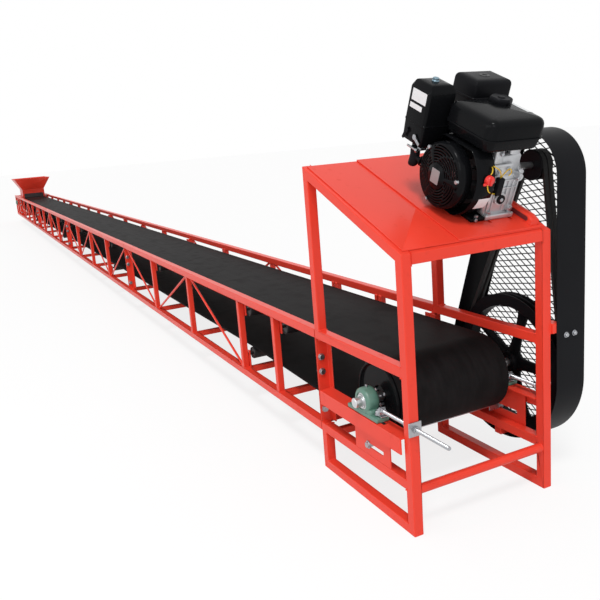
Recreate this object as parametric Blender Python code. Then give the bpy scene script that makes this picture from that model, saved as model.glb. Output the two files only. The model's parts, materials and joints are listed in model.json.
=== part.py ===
"""Truss-frame belt conveyor for grain: petrol engine, V-belt drive, head drum and loading hopper.

Metres, +Z up. +X runs along the conveyor to its discharge end, and +Y is the side that carries the
V-belt guard. Pieces are drawn in conveyor coordinates: X = 0 at the joint between the drive frame and
the first truss segment, Y = 0 midway across the belt, Z = 0 on the floor. The datum empty then sets
the finished part on the centre of its footprint.
"""

import math

import bmesh
import bpy
from mathutils import Vector

# ---------------------------------------------------------------- driving dimensions
GAP = 0.0003                # clearance between pieces that touch
WELD = 0.001                # depth that a welded end runs into what it meets
TUBE = 0.030                # side of the square frame tube
FRAME_WIDTH = 0.500         # outside width of the frame
DRIVE_LENGTH = 0.518        # drive frame, rear leg to front face
TOP_CHORD_TOP = 0.480       # top of the upper chord above the floor
LOWER_CHORD_TOP = 0.160     # top of the lower chord above the floor
DECK_FRONT = 0.7865         # top of the engine deck at its front edge
DECK_ANGLE = math.radians(22.9)
DECK_INSET = 0.012          # bare frame round the deck plate
DECK_PLATE = 0.003
MOUNT_PLATE = 0.004
MOUNT_PLATE_Y = (-0.060, 0.238)

PANEL = 0.7125              # spacing of the truss uprights
PANELS = 4                  # panels in one truss segment
SEGMENTS = 4                # bolted truss segments
UPRIGHT = 0.025             # side of the uprights and cross tubes
BRACE_RADIUS = 0.006        # round bar diagonals
FLANGE_WIDTH = 0.045        # angle at the segment ends
FLANGE_THICK = 0.005
FLANGE_RETURN = 0.028       # leg of that angle along the conveyor
SPLICE_BOLTS = (0.385, 0.335, 0.205)
CROSS_OFFSET = 0.050        # cross tube behind the front joint of a segment
TAIL_LENGTH = 0.850         # tail section behind the last joint

DRUM_RADIUS = 0.1095        # head drum
DRUM_LENGTH = 0.400
DRUM_WALL = 0.006
DRUM_X = 0.2875
TAIL_RADIUS = 0.0795        # tail drum
TAIL_DRUM_OFFSET = 0.250    # tail drum axis in front of the tail end
SHAFT_RADIUS = 0.015
HEAD_SHAFT_LEFT = 0.283     # free end of the head shaft, from the middle
HEAD_SHAFT_RIGHT = 0.341    # its driven end, outside the pulley
TAIL_SHAFT_REACH = 0.270
BELT_WIDTH = 0.390
BELT_THICK = 0.007
BELT_STEPS = 16             # flats of the belt round half a drum
RETURN_HEIGHT = 0.240       # underside of the return strand at its rollers

BEARING_HEIGHT = 0.0429     # pillow block, base to shaft centre
BEARING_LENGTH = 0.165
BEARING_WIDTH = 0.044
BEARING_RING = 0.040        # outer radius of the pillow block
BEARING_FOOT = 0.014
BEARING_Y = 0.238           # middle of the pillow block from the belt's middle
BEARING_BOLT = 0.0605       # pillow block bolt from the shaft, along the rail
RAIL_TOP = 0.282            # top of the bearing rail
RAIL_THICK = 0.004
RAIL_DEPTH = 0.047
RAIL_SLOT = (0.070, 0.014)

ROD_RADIUS = 0.006          # take-up rod
ROD_END = 0.665
LONG_ROD_SIDE = -1          # side whose take-up rod runs through the front post
ROD_EYE = (0.035, 0.020, 0.036)
ROD_CLEARANCE = 0.0005
TAKEUP_PLATE = (0.040, 0.004)

SCRAPER_X = 0.300
SCRAPER_THICK = 0.004
SCRAPER_BOLT_Z = 0.192
SCRAPER_BAR_BOTTOM = 0.197
SCRAPER_LUG = (0.040, 0.183)    # length of the deeper ends, and their underside
SCRAPER_SLOT = 0.080
SCRAPER_PLATE_X = (0.225, 0.415)

ROLLER_RADIUS = 0.030
RETURN_RADIUS = 0.025
ROLLER_LENGTH = 0.400
AXLE_RADIUS = 0.006
AXLE_CLEARANCE = 0.0004
BRACKET_THICK = 0.004
BRACKET_HALF = 0.024
BRACKET_RISE = 0.020        # bracket beyond the axle, above or below
BRACKET_LAP = 0.004         # roller bracket up the side of the upper chord
TAIL_PLATE = 0.130          # length of the plate that carries the tail bearing
TAIL_PLATE_THICK = 0.006
CROSS_ROUND = 0.0135        # round tube between the front posts
CROSS_ROUND_Z = 0.130

BIG_PULLEY_RADIUS = 0.225
PULLEY_WIDTH = 0.044
PULLEY_Y = 0.315            # middle of both pulleys
SMALL_PULLEY_RADIUS = 0.045
RIM_THICK = 0.038
HUB_RADIUS = 0.034
SPOKES = 5
SPOKE = (0.030, 0.016)      # width and thickness of an arm
GROOVE_PITCH = 0.019
GROOVE_DEPTH = 0.014
GROOVE_TOP = 0.0085         # half width of a groove at the rim
GROOVE_FLOOR = 0.0045       # half width at its floor
VBELT_DEPTH = (0.0005, 0.0105)
VBELT_CLEARANCE = 0.0004    # beside the belt, in its groove
PULLEY_SEGS = 32

GUARD_Y = (0.2630, 0.3730)  # inner and outer edge of the belt guard
GUARD_BOTTOM_RADIUS = 0.240
GUARD_TOP_RADIUS = 0.135
GUARD_TOP = (0.395, 0.925)  # centre of the guard's upper bend
GUARD_SHEET = 0.002
BRACKET_REACH = 0.020       # guard brackets, past the band's inner edge
MESH_THICK = 0.002

ENGINE_SLOPE = 0.175        # crankshaft, measured up the deck from its front edge
CRANK_HEIGHT = 0.106        # crankshaft above the engine's feet
CRANK_RADIUS = 0.010
CRANK_Y = (0.012, 0.343)
ENGINE_BASE_Y = (0.080, 0.178)
ENGINE_BASE_X = 0.095
ENGINE_BASE_Z = 0.016
ENGINE_BOLTS = (0.081, 0.038)   # half spacing, along the slope and along the crankshaft
ENGINE_SLOT = (0.050, 0.010)
CASE_Y = (0.070, 0.185)
SHROUD_Y = (0.002, 0.066)
SHROUD_RADIUS = 0.112
FAN_RADIUS = 0.084
FAN_Y = (0.014, 0.052)
RECOIL_RADIUS = 0.092
RECOIL_DEPTH = 0.052
TANK_X = (-0.085, 0.112)
TANK_Y = (0.005, 0.200)
TANK_BOTTOM = 0.201
TANK_TOP = 0.296
CAP_RADIUS = 0.032
CAP_PLACE = (-0.020, 0.135)
CLEANER_X = (-0.185, -0.089)
CLEANER_Y = (-0.050, 0.046)
CLEANER_Z = (0.148, 0.320)
MUFFLER_X = (-0.195, -0.089)
MUFFLER_Y = (0.100, 0.235)
MUFFLER_Z = (0.245, 0.330)
CASE_TOP = 0.178
CYLINDER_X = (-0.160, -0.0803)
CYLINDER_Y = (0.075, 0.180)
CYLINDER_Z = (0.080, 0.186)
BOSS_SPACING = 0.045
FINS = 6
FIN_THICK = 0.004
FIN_DEPTH = 0.012
FAN_BLADES = 10
SHELL = 0.003               # wall of the pressed covers
SHROUD_LID = 0.200          # flat top of the fan shroud, under the tank
SHROUD_FOOT = 0.001         # its flat underside
GRIP_PLACE = (-0.128, -0.030)
GRIP_Z = (0.078, 0.143)
GRIP_RADIUS = 0.011
THROTTLE_PIVOT = (-0.118, 0.172)
CHOKE_PIVOT = (-0.160, 0.178)
LEVER_THICK = 0.003
SWITCH_PLACE = (0.0360, 0.1354)
SWITCH_X = (0.1107, 0.1280)
SWITCH_RADIUS = 0.013
GUARD_STEPS = (18, 14)

HOPPER_NECK = (0.260, 0.180)    # half length and half width of the chute
HOPPER_MOUTH = (0.390, 0.290)
HOPPER_Z = (0.455, 0.600, 0.790)
HOPPER_SHEET = 0.003
HOPPER_OUTLET = 0.075       # height of the opening towards the discharge end
HOPPER_TO_TAIL = 0.720      # middle of the hopper in front of the tail end
HOPPER_RAIL = 0.640
SKIRT_THICK = 0.004
SKIRT_TOP = 0.510

SEGS = 12                   # sides of small round pieces
DRUM_SEGS = 24              # sides of the drums
BOLT_FLATS = 0.018
HEAD_HEIGHT = 0.0075
NUT_HEIGHT = 0.0095

# ---------------------------------------------------------------- worked out from the above
HALF = FRAME_WIDTH / 2
INNER = HALF - TUBE
MIDDLE = HALF - TUBE / 2
SEGMENT_LENGTH = PANEL * PANELS
TRUSS_END = -SEGMENT_LENGTH * SEGMENTS
TAIL_END = TRUSS_END - TAIL_LENGTH
LOWER_CHORD = (LOWER_CHORD_TOP - TUBE, LOWER_CHORD_TOP)
TOP_CHORD = (TOP_CHORD_TOP - TUBE, TOP_CHORD_TOP)
CROSS_Z = (LOWER_CHORD[0] + (TUBE - UPRIGHT) / 2, LOWER_CHORD[1] - (TUBE - UPRIGHT) / 2)
WEB = (LOWER_CHORD[1] - WELD, TOP_CHORD[0] + WELD)
AXIS_Z = RAIL_TOP + GAP + BEARING_HEIGHT
FLAT = math.cos(math.pi / 2 / BELT_STEPS)
HEAD_BELT = (DRUM_RADIUS + GAP) / FLAT
TAIL_BELT = (TAIL_RADIUS + GAP) / FLAT
BELT_UNDER = AXIS_Z + HEAD_BELT
BELT_TOP = BELT_UNDER + BELT_THICK
TAIL_X = TAIL_END + TAIL_DRUM_OFFSET
TAIL_Z = BELT_UNDER - TAIL_BELT
ROLLER_Z = BELT_UNDER - GAP - ROLLER_RADIUS
RETURN_Z = RETURN_HEIGHT - GAP - RETURN_RADIUS
POST_FRONT = DRIVE_LENGTH - TUBE
ROD_Z = RAIL_TOP + 2 * GAP + BEARING_FOOT + ROD_EYE[2] / 2
HOPPER_X = TAIL_END + HOPPER_TO_TAIL
RETURN_PLACES = [-(index * PANELS + 1) * PANEL for index in range(SEGMENTS)]
CARRY_PLACES = [-PANEL / 2] + [-step * PANEL for step in range(1, PANELS * SEGMENTS, 2)]
LEFT_REACH = max(HEAD_SHAFT_LEFT, HOPPER_MOUTH[1])
BORE = (SHAFT_RADIUS + GAP) / math.cos(math.pi / SEGS)
ENGINE_Z = MOUNT_PLATE + 2 * GAP
BRACKET_Y = (INNER - BRACKET_THICK, INNER + WELD)

RED = ((0.72, 0.035, 0.022), 0.38, 0.0)
BLACK = ((0.018, 0.018, 0.020), 0.35, 0.0)
RUBBER = ((0.022, 0.021, 0.021), 0.70, 0.0)
ZINC = ((0.55, 0.56, 0.57), 0.35, 0.9)
GREEN = ((0.10, 0.24, 0.18), 0.45, 0.0)
ALUMINIUM = ((0.62, 0.63, 0.64), 0.45, 0.8)
IRON = ((0.03, 0.03, 0.032), 0.55, 0.3)

SIDES = (-1, 1)

for old in list(bpy.data.objects):
    bpy.data.objects.remove(old)

datum = bpy.data.objects.new("datum", None)
bpy.context.collection.objects.link(datum)
datum.location = (-(TAIL_END + ROD_END) / 2, -(GUARD_Y[1] - LEFT_REACH) / 2, 0.0)

engine_datum = bpy.data.objects.new("engine_datum", None)
bpy.context.collection.objects.link(engine_datum)
engine_datum.parent = datum
engine_datum.location = (
    DRIVE_LENGTH - ENGINE_SLOPE * math.cos(DECK_ANGLE) + ENGINE_Z * math.sin(DECK_ANGLE),
    0.0,
    DECK_FRONT + ENGINE_SLOPE * math.sin(DECK_ANGLE) + ENGINE_Z * math.cos(DECK_ANGLE),
)
engine_datum.rotation_euler = (0.0, DECK_ANGLE, 0.0)
CRANK_X = engine_datum.location.x + CRANK_HEIGHT * math.sin(DECK_ANGLE)
CRANK_Z = engine_datum.location.z + CRANK_HEIGHT * math.cos(DECK_ANGLE)


def material(name, look):
    """A Principled material of one colour, roughness and metallic value."""
    made = bpy.data.materials.new(name)
    made.use_nodes = True
    shader = made.node_tree.nodes["Principled BSDF"]
    colour, roughness, metallic = look
    shader.inputs["Base Color"].default_value = (*colour, 1.0)
    shader.inputs["Roughness"].default_value = roughness
    shader.inputs["Metallic"].default_value = metallic
    return made


def finish(name, bm, look, parent=None, origin=(0.0, 0.0, 0.0)):
    """Turns a bmesh into the named object, its origin at a point given in the mesh's own space."""
    bmesh.ops.recalc_face_normals(bm, faces=bm.faces)
    bmesh.ops.translate(bm, verts=bm.verts, vec=-Vector(origin))
    mesh = bpy.data.meshes.new(name)
    bm.to_mesh(mesh)
    bm.free()
    mesh.shade_smooth()
    mesh.set_sharp_from_angle(angle=math.radians(30))
    mesh.materials.append(material(name, look))
    made = bpy.data.objects.new(name, mesh)
    bpy.context.collection.objects.link(made)
    made.location = origin
    made.parent = parent or datum
    return made


def combine(target, bm, name, operation):
    """Joins or subtracts the closed shapes in a bmesh, drawn in the space of the target's parent."""
    bmesh.ops.recalc_face_normals(bm, faces=bm.faces)
    mesh = bpy.data.meshes.new(name)
    bm.to_mesh(mesh)
    bm.free()
    tool = bpy.data.objects.new(name, mesh)
    bpy.context.collection.objects.link(tool)
    tool.parent = target.parent
    tool.hide_render = True
    tool.display_type = "WIRE"
    boolean = target.modifiers.new(name, "BOOLEAN")
    boolean.operation = operation
    boolean.solver = "EXACT"
    boolean.use_self = operation == "UNION"
    boolean.object = tool


def cut(target, bm, name):
    combine(target, bm, name, "DIFFERENCE")


def weld(target, bm, name):
    combine(target, bm, name, "UNION")


# ---------------------------------------------------------------- shapes
def skin(bm, rings, closed_along=False):
    """Skins equal rings of points; the ends are capped unless the last ring joins the first."""
    made = [[bm.verts.new(point) for point in ring] for ring in rings]
    count = len(made[0])
    last = len(made) if closed_along else len(made) - 1
    for index in range(last):
        near = made[index]
        far = made[(index + 1) % len(made)]
        for side in range(count):
            after = (side + 1) % count
            bm.faces.new((near[side], near[after], far[after], far[side]))
    if not closed_along:
        bm.faces.new(made[0][::-1])
        bm.faces.new(made[-1])


def add_box(bm, x, y, z):
    """A block between two values on each axis."""
    outline = [(x[0], y[0]), (x[1], y[0]), (x[1], y[1]), (x[0], y[1])]
    skin(bm, [[(u, v, height) for u, v in outline] for height in z])


def add_prism(bm, outline, y):
    """An outline in X and Z carried from one Y to another."""
    skin(bm, [[(u, across, v) for u, v in outline] for across in y])


def square_to(direction):
    """A unit vector along a direction, and two square to it."""
    along = Vector(direction).normalized()
    side = along.cross(Vector((0, 0, 1)))
    if side.length < 1e-6:
        side = Vector((1, 0, 0))
    side.normalize()
    return along, side, side.cross(along)


def circle(place, side, up, radius, segs):
    """Points round a place, in the plane of two unit vectors."""
    turns = [math.tau * step / segs for step in range(segs)]
    return [place + radius * (math.cos(turn) * side + math.sin(turn) * up) for turn in turns]


def add_turned(bm, profile, centre, axis, segs=SEGS):
    """A solid from a profile of (radius, distance along the axis), from one flat end to the other."""
    along, side, up = square_to(axis)
    centre = Vector(centre)
    skin(bm, [circle(centre + distance * along, side, up, radius, segs) for radius, distance in profile])


def add_ring(bm, profile, centre, axis, segs=SEGS):
    """A closed profile of (radius, distance along the axis) turned about the axis, open at its middle."""
    along, side, up = square_to(axis)
    centre = Vector(centre)
    rings = []
    for step in range(segs):
        turn = math.tau * step / segs
        out = math.cos(turn) * side + math.sin(turn) * up
        rings.append([centre + radius * out + distance * along for radius, distance in profile])
    skin(bm, rings, closed_along=True)


def add_rod(bm, start, end, radius, segs=SEGS):
    """A round bar between two points."""
    start, end = Vector(start), Vector(end)
    add_turned(bm, [(radius, 0.0), (radius, (end - start).length)], start, end - start, segs)


def add_hexagon(bm, seat, axis, height, flats=BOLT_FLATS):
    """A bolt head or nut that is joined to the face at the given point."""
    radius = flats / math.sqrt(3)
    add_turned(bm, [(radius, -WELD), (radius, height)], seat, axis, 6)


def arc(centre, radius, first, last, steps):
    """Points on an arc, angles in degrees, both ends included."""
    turns = [math.radians(first + (last - first) * step / steps) for step in range(steps + 1)]
    return [(centre[0] + radius * math.cos(turn), centre[1] + radius * math.sin(turn)) for turn in turns]


def loop_round(low, low_radius, high, high_radius, low_steps, high_steps):
    """The outline that a tight band makes round two circles, anticlockwise in X and Z."""
    length = math.dist(low, high)
    lean = math.degrees(math.atan2(high[1] - low[1], high[0] - low[0]))
    turn = math.degrees(math.acos((low_radius - high_radius) / length))
    upper = arc(high, high_radius, lean - turn, lean + turn, high_steps)
    return upper + arc(low, low_radius, lean + turn, lean + 360 - turn, low_steps)


def span(side, near, far):
    """Y values at two distances from the middle on one side, in rising order."""
    return tuple(sorted((side * near, side * far)))


def deck_top(x, drop=0.0):
    """Height of the deck's surface at a place along the conveyor, less a drop square to its slope."""
    return DECK_FRONT + (DRIVE_LENGTH - x) * math.tan(DECK_ANGLE) - drop / math.cos(DECK_ANGLE)


def deck_slab(bm, x, y, top, bottom):
    """A flat piece that follows the deck, between two drops below its surface."""
    add_prism(bm, [(x[0], deck_top(x[0], bottom)), (x[1], deck_top(x[1], bottom)),
                   (x[1], deck_top(x[1], top)), (x[0], deck_top(x[0], top))], y)


def joint_angle(bm, x, towards, side, z):
    """The upright angle iron at a bolted joint: a plate across the conveyor and a leg along it."""
    outer = side * HALF
    inner = side * (HALF - FLANGE_WIDTH)
    leg = inner + side * FLANGE_THICK
    far = x + towards * FLANGE_RETURN
    plate = x + towards * FLANGE_THICK
    outline = [(x, outer), (plate, outer), (plate, leg), (far, leg), (far, inner), (x, inner)]
    skin(bm, [[(u, v, height) for u, v in outline] for height in z])


# ---------------------------------------------------------------- drive frame
def drive_frame():
    """The welded drive frame: legs, chords, base rails, cross tubes, joint angles and sloped deck frame."""
    bars = bmesh.new()
    joined = bmesh.new()
    rail_top = DECK_PLATE + GAP
    rail_under = rail_top + TUBE
    post_drop = rail_under - WELD
    behind = POST_FRONT + WELD
    for side in SIDES:
        y = span(side, INNER, HALF)
        for x, foot in (((POST_FRONT, DRIVE_LENGTH), 0.0), ((0.0, TUBE), TOP_CHORD[1] - WELD)):
            add_prism(bars, [(x[0], foot), (x[1], foot), (x[1], deck_top(x[1], post_drop)),
                             (x[0], deck_top(x[0], post_drop))], y)
        deck_slab(joined, (0.0, DRIVE_LENGTH), y, rail_top, rail_under)
        for z in (TOP_CHORD, LOWER_CHORD, (0.0, TUBE)):
            add_box(joined, (0.0, behind), y, z)
        add_box(joined, (0.0, TUBE), y, (TUBE - WELD, LOWER_CHORD[0] + WELD))
        joint_angle(joined, 0.0, 1, side, WEB)
        for z in SPLICE_BOLTS:
            add_hexagon(joined, (FLANGE_THICK, side * MIDDLE, z), (1, 0, 0), HEAD_HEIGHT)
    reach = INNER + WELD
    front = DRIVE_LENGTH - TUBE / 2
    add_rod(joined, (front, -reach, CROSS_ROUND_Z), (front, reach, CROSS_ROUND_Z), CROSS_ROUND)
    add_box(joined, (WELD, UPRIGHT), (-reach, reach), (LOWER_CHORD[0] - UPRIGHT, LOWER_CHORD[0] - WELD))
    for x in ((WELD, TUBE - WELD), (POST_FRONT + WELD, DRIVE_LENGTH - WELD)):
        deck_slab(joined, x, (-reach, reach), rail_top + WELD, rail_under - WELD)
    low = TOP_CHORD[1]
    out = GUARD_Y[0] + BRACKET_REACH
    add_box(joined, (POST_FRONT + WELD, guard_side(low, True)), (HALF - WELD, out), (low, low + TUBE))
    height = deck_top(0.300, DECK_PLATE + TUBE)
    add_box(joined, (guard_side(height + TUBE, False), 0.320), (HALF - WELD, out), (height, height + TUBE))
    bottom = AXIS_Z - (GUARD_BOTTOM_RADIUS - GUARD_SHEET - GAP) * math.cos(math.radians(6))
    add_box(joined, (DRUM_X - TUBE / 2, DRUM_X + TUBE / 2), (HALF - WELD, out), (bottom, LOWER_CHORD[1] - WELD))
    made = finish("drive_frame", bars, RED)
    weld(made, joined, "drive_frame_welds")
    holes = bmesh.new()
    place = (POST_FRONT - TUBE, LONG_ROD_SIDE * MIDDLE, ROD_Z)
    add_rod(holes, place, (DRIVE_LENGTH + TUBE, place[1], ROD_Z), ROD_RADIUS + 2 * ROD_CLEARANCE)
    cut(made, holes, "takeup_rod_hole")


def bearing_rail(name, side):
    """Slotted angle, which carries a head bearing and lets it slide."""
    bm = bmesh.new()
    slots = bmesh.new()
    outer = side * (BEARING_Y + RAIL_DEPTH / 2)
    inner = side * (BEARING_Y - RAIL_DEPTH / 2)
    skirt = outer - side * RAIL_THICK
    shelf = RAIL_TOP - RAIL_THICK
    toe = RAIL_TOP - RAIL_DEPTH
    outline = [(inner, RAIL_TOP), (outer, RAIL_TOP), (outer, toe), (skirt, toe), (skirt, shelf), (inner, shelf)]
    skin(bm, [[(x, u, v) for u, v in outline] for x in (FLANGE_RETURN + GAP, POST_FRONT - GAP)])
    for end in SIDES:
        middle = DRUM_X + end * BEARING_BOLT
        add_box(slots, (middle - RAIL_SLOT[0] / 2, middle + RAIL_SLOT[0] / 2),
                (side * BEARING_Y - RAIL_SLOT[1] / 2, side * BEARING_Y + RAIL_SLOT[1] / 2),
                (RAIL_TOP - 2 * RAIL_THICK, RAIL_TOP + RAIL_THICK))
    cut(finish(name, bm, RED), slots, name + "_slots")


def scraper_plate(name, side):
    """Slotted plate on the lower chord, which holds one end of the scraper bar."""
    plate = bmesh.new()
    add_box(plate, SCRAPER_PLATE_X, span(side, HALF - RAIL_THICK, HALF),
            (LOWER_CHORD[1] + GAP, RAIL_TOP - RAIL_THICK - GAP))
    slot = bmesh.new()
    add_box(slot, (SCRAPER_X - ROD_RADIUS - 2 * GAP, SCRAPER_X + SCRAPER_SLOT),
            span(side, HALF - 2 * RAIL_THICK, HALF + RAIL_THICK),
            (SCRAPER_BOLT_Z - ROD_RADIUS - 2 * GAP, SCRAPER_BOLT_Z + ROD_RADIUS + 2 * GAP))
    cut(finish(name, plate, RED), slot, name + "_slot")


def scraper_bar():
    """The bar that scrapes the belt under the head drum, with a bolt through the plate at each end."""
    half = SCRAPER_THICK / 2
    near = SCRAPER_X - half - DRUM_X
    top = AXIS_Z - math.sqrt((HEAD_BELT + BELT_THICK) ** 2 - near ** 2) - GAP
    reach = HALF - RAIL_THICK - GAP
    bar = bmesh.new()
    add_box(bar, (SCRAPER_X - half, SCRAPER_X + half), (-reach, reach), (SCRAPER_BAR_BOTTOM, top))
    lugs = bmesh.new()
    bolts = bmesh.new()
    for side in SIDES:
        add_box(lugs, (SCRAPER_X - half, SCRAPER_X + half), span(side, reach - SCRAPER_LUG[0], reach),
                (SCRAPER_LUG[1], SCRAPER_BAR_BOTTOM + WELD))
        inside = (SCRAPER_X, side * (reach - WELD), SCRAPER_BOLT_Z)
        run = HALF + GAP - (reach - WELD)
        radius = BOLT_FLATS * 0.7
        add_turned(bolts, [(ROD_RADIUS, 0.0), (ROD_RADIUS, run), (radius, run), (radius, run + 0.002),
                           (BOLT_FLATS / 2, run + 0.002), (BOLT_FLATS / 2, run + HEAD_HEIGHT)],
                   inside, (0, side, 0), 12)
    made = finish("scraper_bar", bar, ZINC)
    weld(made, lugs, "scraper_lugs")
    weld(made, bolts, "scraper_bolts")


def deck():
    """The sheet over the deck frame, and the thicker slotted plate that the engine is bolted to."""
    bm = bmesh.new()
    inset = DECK_INSET * math.cos(DECK_ANGLE)
    x = (inset, DRIVE_LENGTH - inset)
    reach = HALF - DECK_INSET
    deck_slab(bm, x, (-reach, reach), 0.0, DECK_PLATE)
    finish("deck_plate", bm, RED)

    bm = bmesh.new()
    deck_slab(bm, x, MOUNT_PLATE_Y, -GAP - MOUNT_PLATE, -GAP)
    made = finish("engine_mount_plate", bm, RED)
    slots = bmesh.new()
    centre_x = DRIVE_LENGTH - ENGINE_SLOPE * math.cos(DECK_ANGLE)
    centre_y = sum(ENGINE_BASE_Y) / 2
    for along in SIDES:
        for across in SIDES:
            place = centre_x + along * ENGINE_BOLTS[0] * math.cos(DECK_ANGLE)
            y = centre_y + across * ENGINE_BOLTS[1]
            deck_slab(slots, (place - ENGINE_SLOT[0] / 2, place + ENGINE_SLOT[0] / 2),
                      (y - ENGINE_SLOT[1] / 2, y + ENGINE_SLOT[1] / 2), -3 * MOUNT_PLATE, -GAP / 2)
    cut(made, slots, "engine_slots")


# ---------------------------------------------------------------- truss
def segment_ends(index):
    """Front and rear end of a truss segment along the conveyor."""
    return -index * SEGMENT_LENGTH - GAP, -(index + 1) * SEGMENT_LENGTH


def upright_places(index):
    """Places of the uprights between a segment's two joints."""
    places = [-(index * PANELS + step) * PANEL for step in range(1, PANELS)]
    return [-PANEL / 2] + places if index == 0 else places


def add_chords(bm, x):
    for side in SIDES:
        for z in (LOWER_CHORD, TOP_CHORD):
            add_box(bm, x, span(side, INNER, HALF), z)


def add_upright(bm, place, side):
    add_box(bm, (place - UPRIGHT / 2, place + UPRIGHT / 2),
            span(side, MIDDLE - UPRIGHT / 2, MIDDLE + UPRIGHT / 2), WEB)


def add_cross_tube(bm, place, z=CROSS_Z):
    add_box(bm, (place - UPRIGHT / 2, place + UPRIGHT / 2), (-INNER - WELD, INNER + WELD), z)


def add_brace(bm, high, low, side):
    """A round diagonal from the top of one upright to the foot of the next, welded to both chords."""
    towards = 1 if low > high else -1
    clear = UPRIGHT / 2 + BRACE_RADIUS
    start = (high + towards * clear, side * MIDDLE, TOP_CHORD[0] + BRACE_RADIUS)
    end = (low - towards * clear, side * MIDDLE, LOWER_CHORD[1] - BRACE_RADIUS)
    add_rod(bm, start, end, BRACE_RADIUS, 6)


def add_notched(bm, place, axis_z, low, high):
    """Plates on both sides with an open notch that an axle end drops into."""
    notch = AXLE_RADIUS + AXLE_CLEARANCE
    outline = [(-BRACKET_HALF, low), (BRACKET_HALF, low), (BRACKET_HALF, high), (notch, high),
               (notch, axis_z - notch), (-notch, axis_z - notch), (-notch, high), (-BRACKET_HALF, high)]
    for side in SIDES:
        add_prism(bm, [(place + u, v) for u, v in outline], span(side, *BRACKET_Y))


def truss_segment(index):
    """One bolted length of truss: chords, joint angles, uprights, diagonals, cross tubes and brackets."""
    bars = bmesh.new()
    bm = bmesh.new()
    front, rear = segment_ends(index)
    add_chords(bars, (rear, front))
    stations = [-(index * PANELS + step) * PANEL for step in range(PANELS + 1)]
    for side in SIDES:
        joint_angle(bm, front, -1, side, WEB)
        joint_angle(bm, rear, 1, side, WEB)
        for z in SPLICE_BOLTS:
            add_hexagon(bm, (front - FLANGE_THICK, side * MIDDLE, z), (-1, 0, 0), NUT_HEIGHT)
            add_hexagon(bm, (rear + FLANGE_THICK, side * MIDDLE, z), (1, 0, 0), HEAD_HEIGHT)
        for place in upright_places(index):
            add_upright(bm, place, side)
        for step in range(0, PANELS + 1, 2):
            for low in (step - 1, step + 1):
                if 0 < low < PANELS and (index, step) != (0, 0):
                    add_brace(bm, stations[step], stations[low], side)
    for place in upright_places(index):
        add_cross_tube(bm, place)
    add_cross_tube(bm, front - CROSS_OFFSET)
    for place in CARRY_PLACES:
        if rear < place < front:
            add_notched(bm, place, ROLLER_Z, ROLLER_Z - BRACKET_RISE, TOP_CHORD[0] + BRACKET_LAP)
    for place in RETURN_PLACES:
        if rear < place < front:
            add_notched(bm, place, RETURN_Z, CROSS_Z[1] - WELD, RETURN_Z + BRACKET_RISE)
    weld(finish(f"truss_segment_{index + 1}", bars, RED), bm, f"truss_welds_{index + 1}")


def tail_frame():
    """The last length of frame, with the plates that carry the tail drum."""
    bars = bmesh.new()
    bm = bmesh.new()
    holes = bmesh.new()
    front = TRUSS_END - GAP
    end = TAIL_END + UPRIGHT / 2
    add_chords(bars, (TAIL_END, front))
    for side in SIDES:
        joint_angle(bm, front, -1, side, WEB)
        for z in SPLICE_BOLTS:
            add_hexagon(bm, (front - FLANGE_THICK, side * MIDDLE, z), (-1, 0, 0), NUT_HEIGHT)
        add_upright(bm, end + WELD, side)
        add_upright(bm, front - TAIL_LENGTH / 2, side)
        add_box(bm, (TAIL_X - TAIL_PLATE / 2, TAIL_X + TAIL_PLATE / 2),
                span(side, MIDDLE - TAIL_PLATE_THICK / 2, MIDDLE + TAIL_PLATE_THICK / 2), WEB)
        add_rod(holes, (TAIL_X, side * INNER, TAIL_Z), (TAIL_X, side * HALF, TAIL_Z), BORE + 2 * GAP)
    add_cross_tube(bm, end + WELD)
    add_cross_tube(bm, end + WELD, (TOP_CHORD[0] + WELD, TOP_CHORD[0] + UPRIGHT))
    add_cross_tube(bm, front - CROSS_OFFSET)
    add_cross_tube(bm, front - TAIL_LENGTH / 2)
    made = finish("tail_frame", bars, RED)
    weld(made, bm, "tail_welds")
    cut(made, holes, "tail_shaft_holes")


# ---------------------------------------------------------------- belt, drums and rollers


def conveyor_belt():
    """The endless belt: over the head drum, back along the return rollers and round the tail drum."""
    head = (DRUM_X, AXIS_Z)
    tail = (TAIL_X, TAIL_Z)
    inner = arc(head, HEAD_BELT, 90, -90, BELT_STEPS)
    outer = arc(head, HEAD_BELT + BELT_THICK, 90, -90, BELT_STEPS)
    for place in RETURN_PLACES:
        inner.append((place, RETURN_HEIGHT + BELT_THICK))
        outer.append((place, RETURN_HEIGHT))
    inner += arc(tail, TAIL_BELT, 270, 90, BELT_STEPS)
    outer += arc(tail, TAIL_BELT + BELT_THICK, 270, 90, BELT_STEPS)
    half = BELT_WIDTH / 2
    bm = bmesh.new()
    skin(bm, [[(a[0], -half, a[1]), (b[0], -half, b[1]), (b[0], half, b[1]), (a[0], half, a[1])]
              for a, b in zip(inner, outer)], closed_along=True)
    finish("conveyor_belt", bm, RUBBER)


def drum(name, centre, radius):
    """A tube with two bored end plates, open inside between the plates and the shaft."""
    half = DRUM_LENGTH / 2
    bore = SHAFT_RADIUS + 2 * GAP
    wall = radius - DRUM_WALL
    inside = half - DRUM_WALL
    bm = bmesh.new()
    add_ring(bm, [(bore, -half), (radius, -half), (radius, half), (bore, half),
                  (bore, inside), (wall, inside), (wall, -inside), (bore, -inside)], centre, (0, 1, 0), DRUM_SEGS)
    finish(name, bm, IRON, origin=centre)


def shaft(name, centre, near, far):
    bm = bmesh.new()
    add_rod(bm, (centre[0], near, centre[2]), (centre[0], far, centre[2]), SHAFT_RADIUS)
    finish(name, bm, ZINC, origin=centre)


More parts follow.
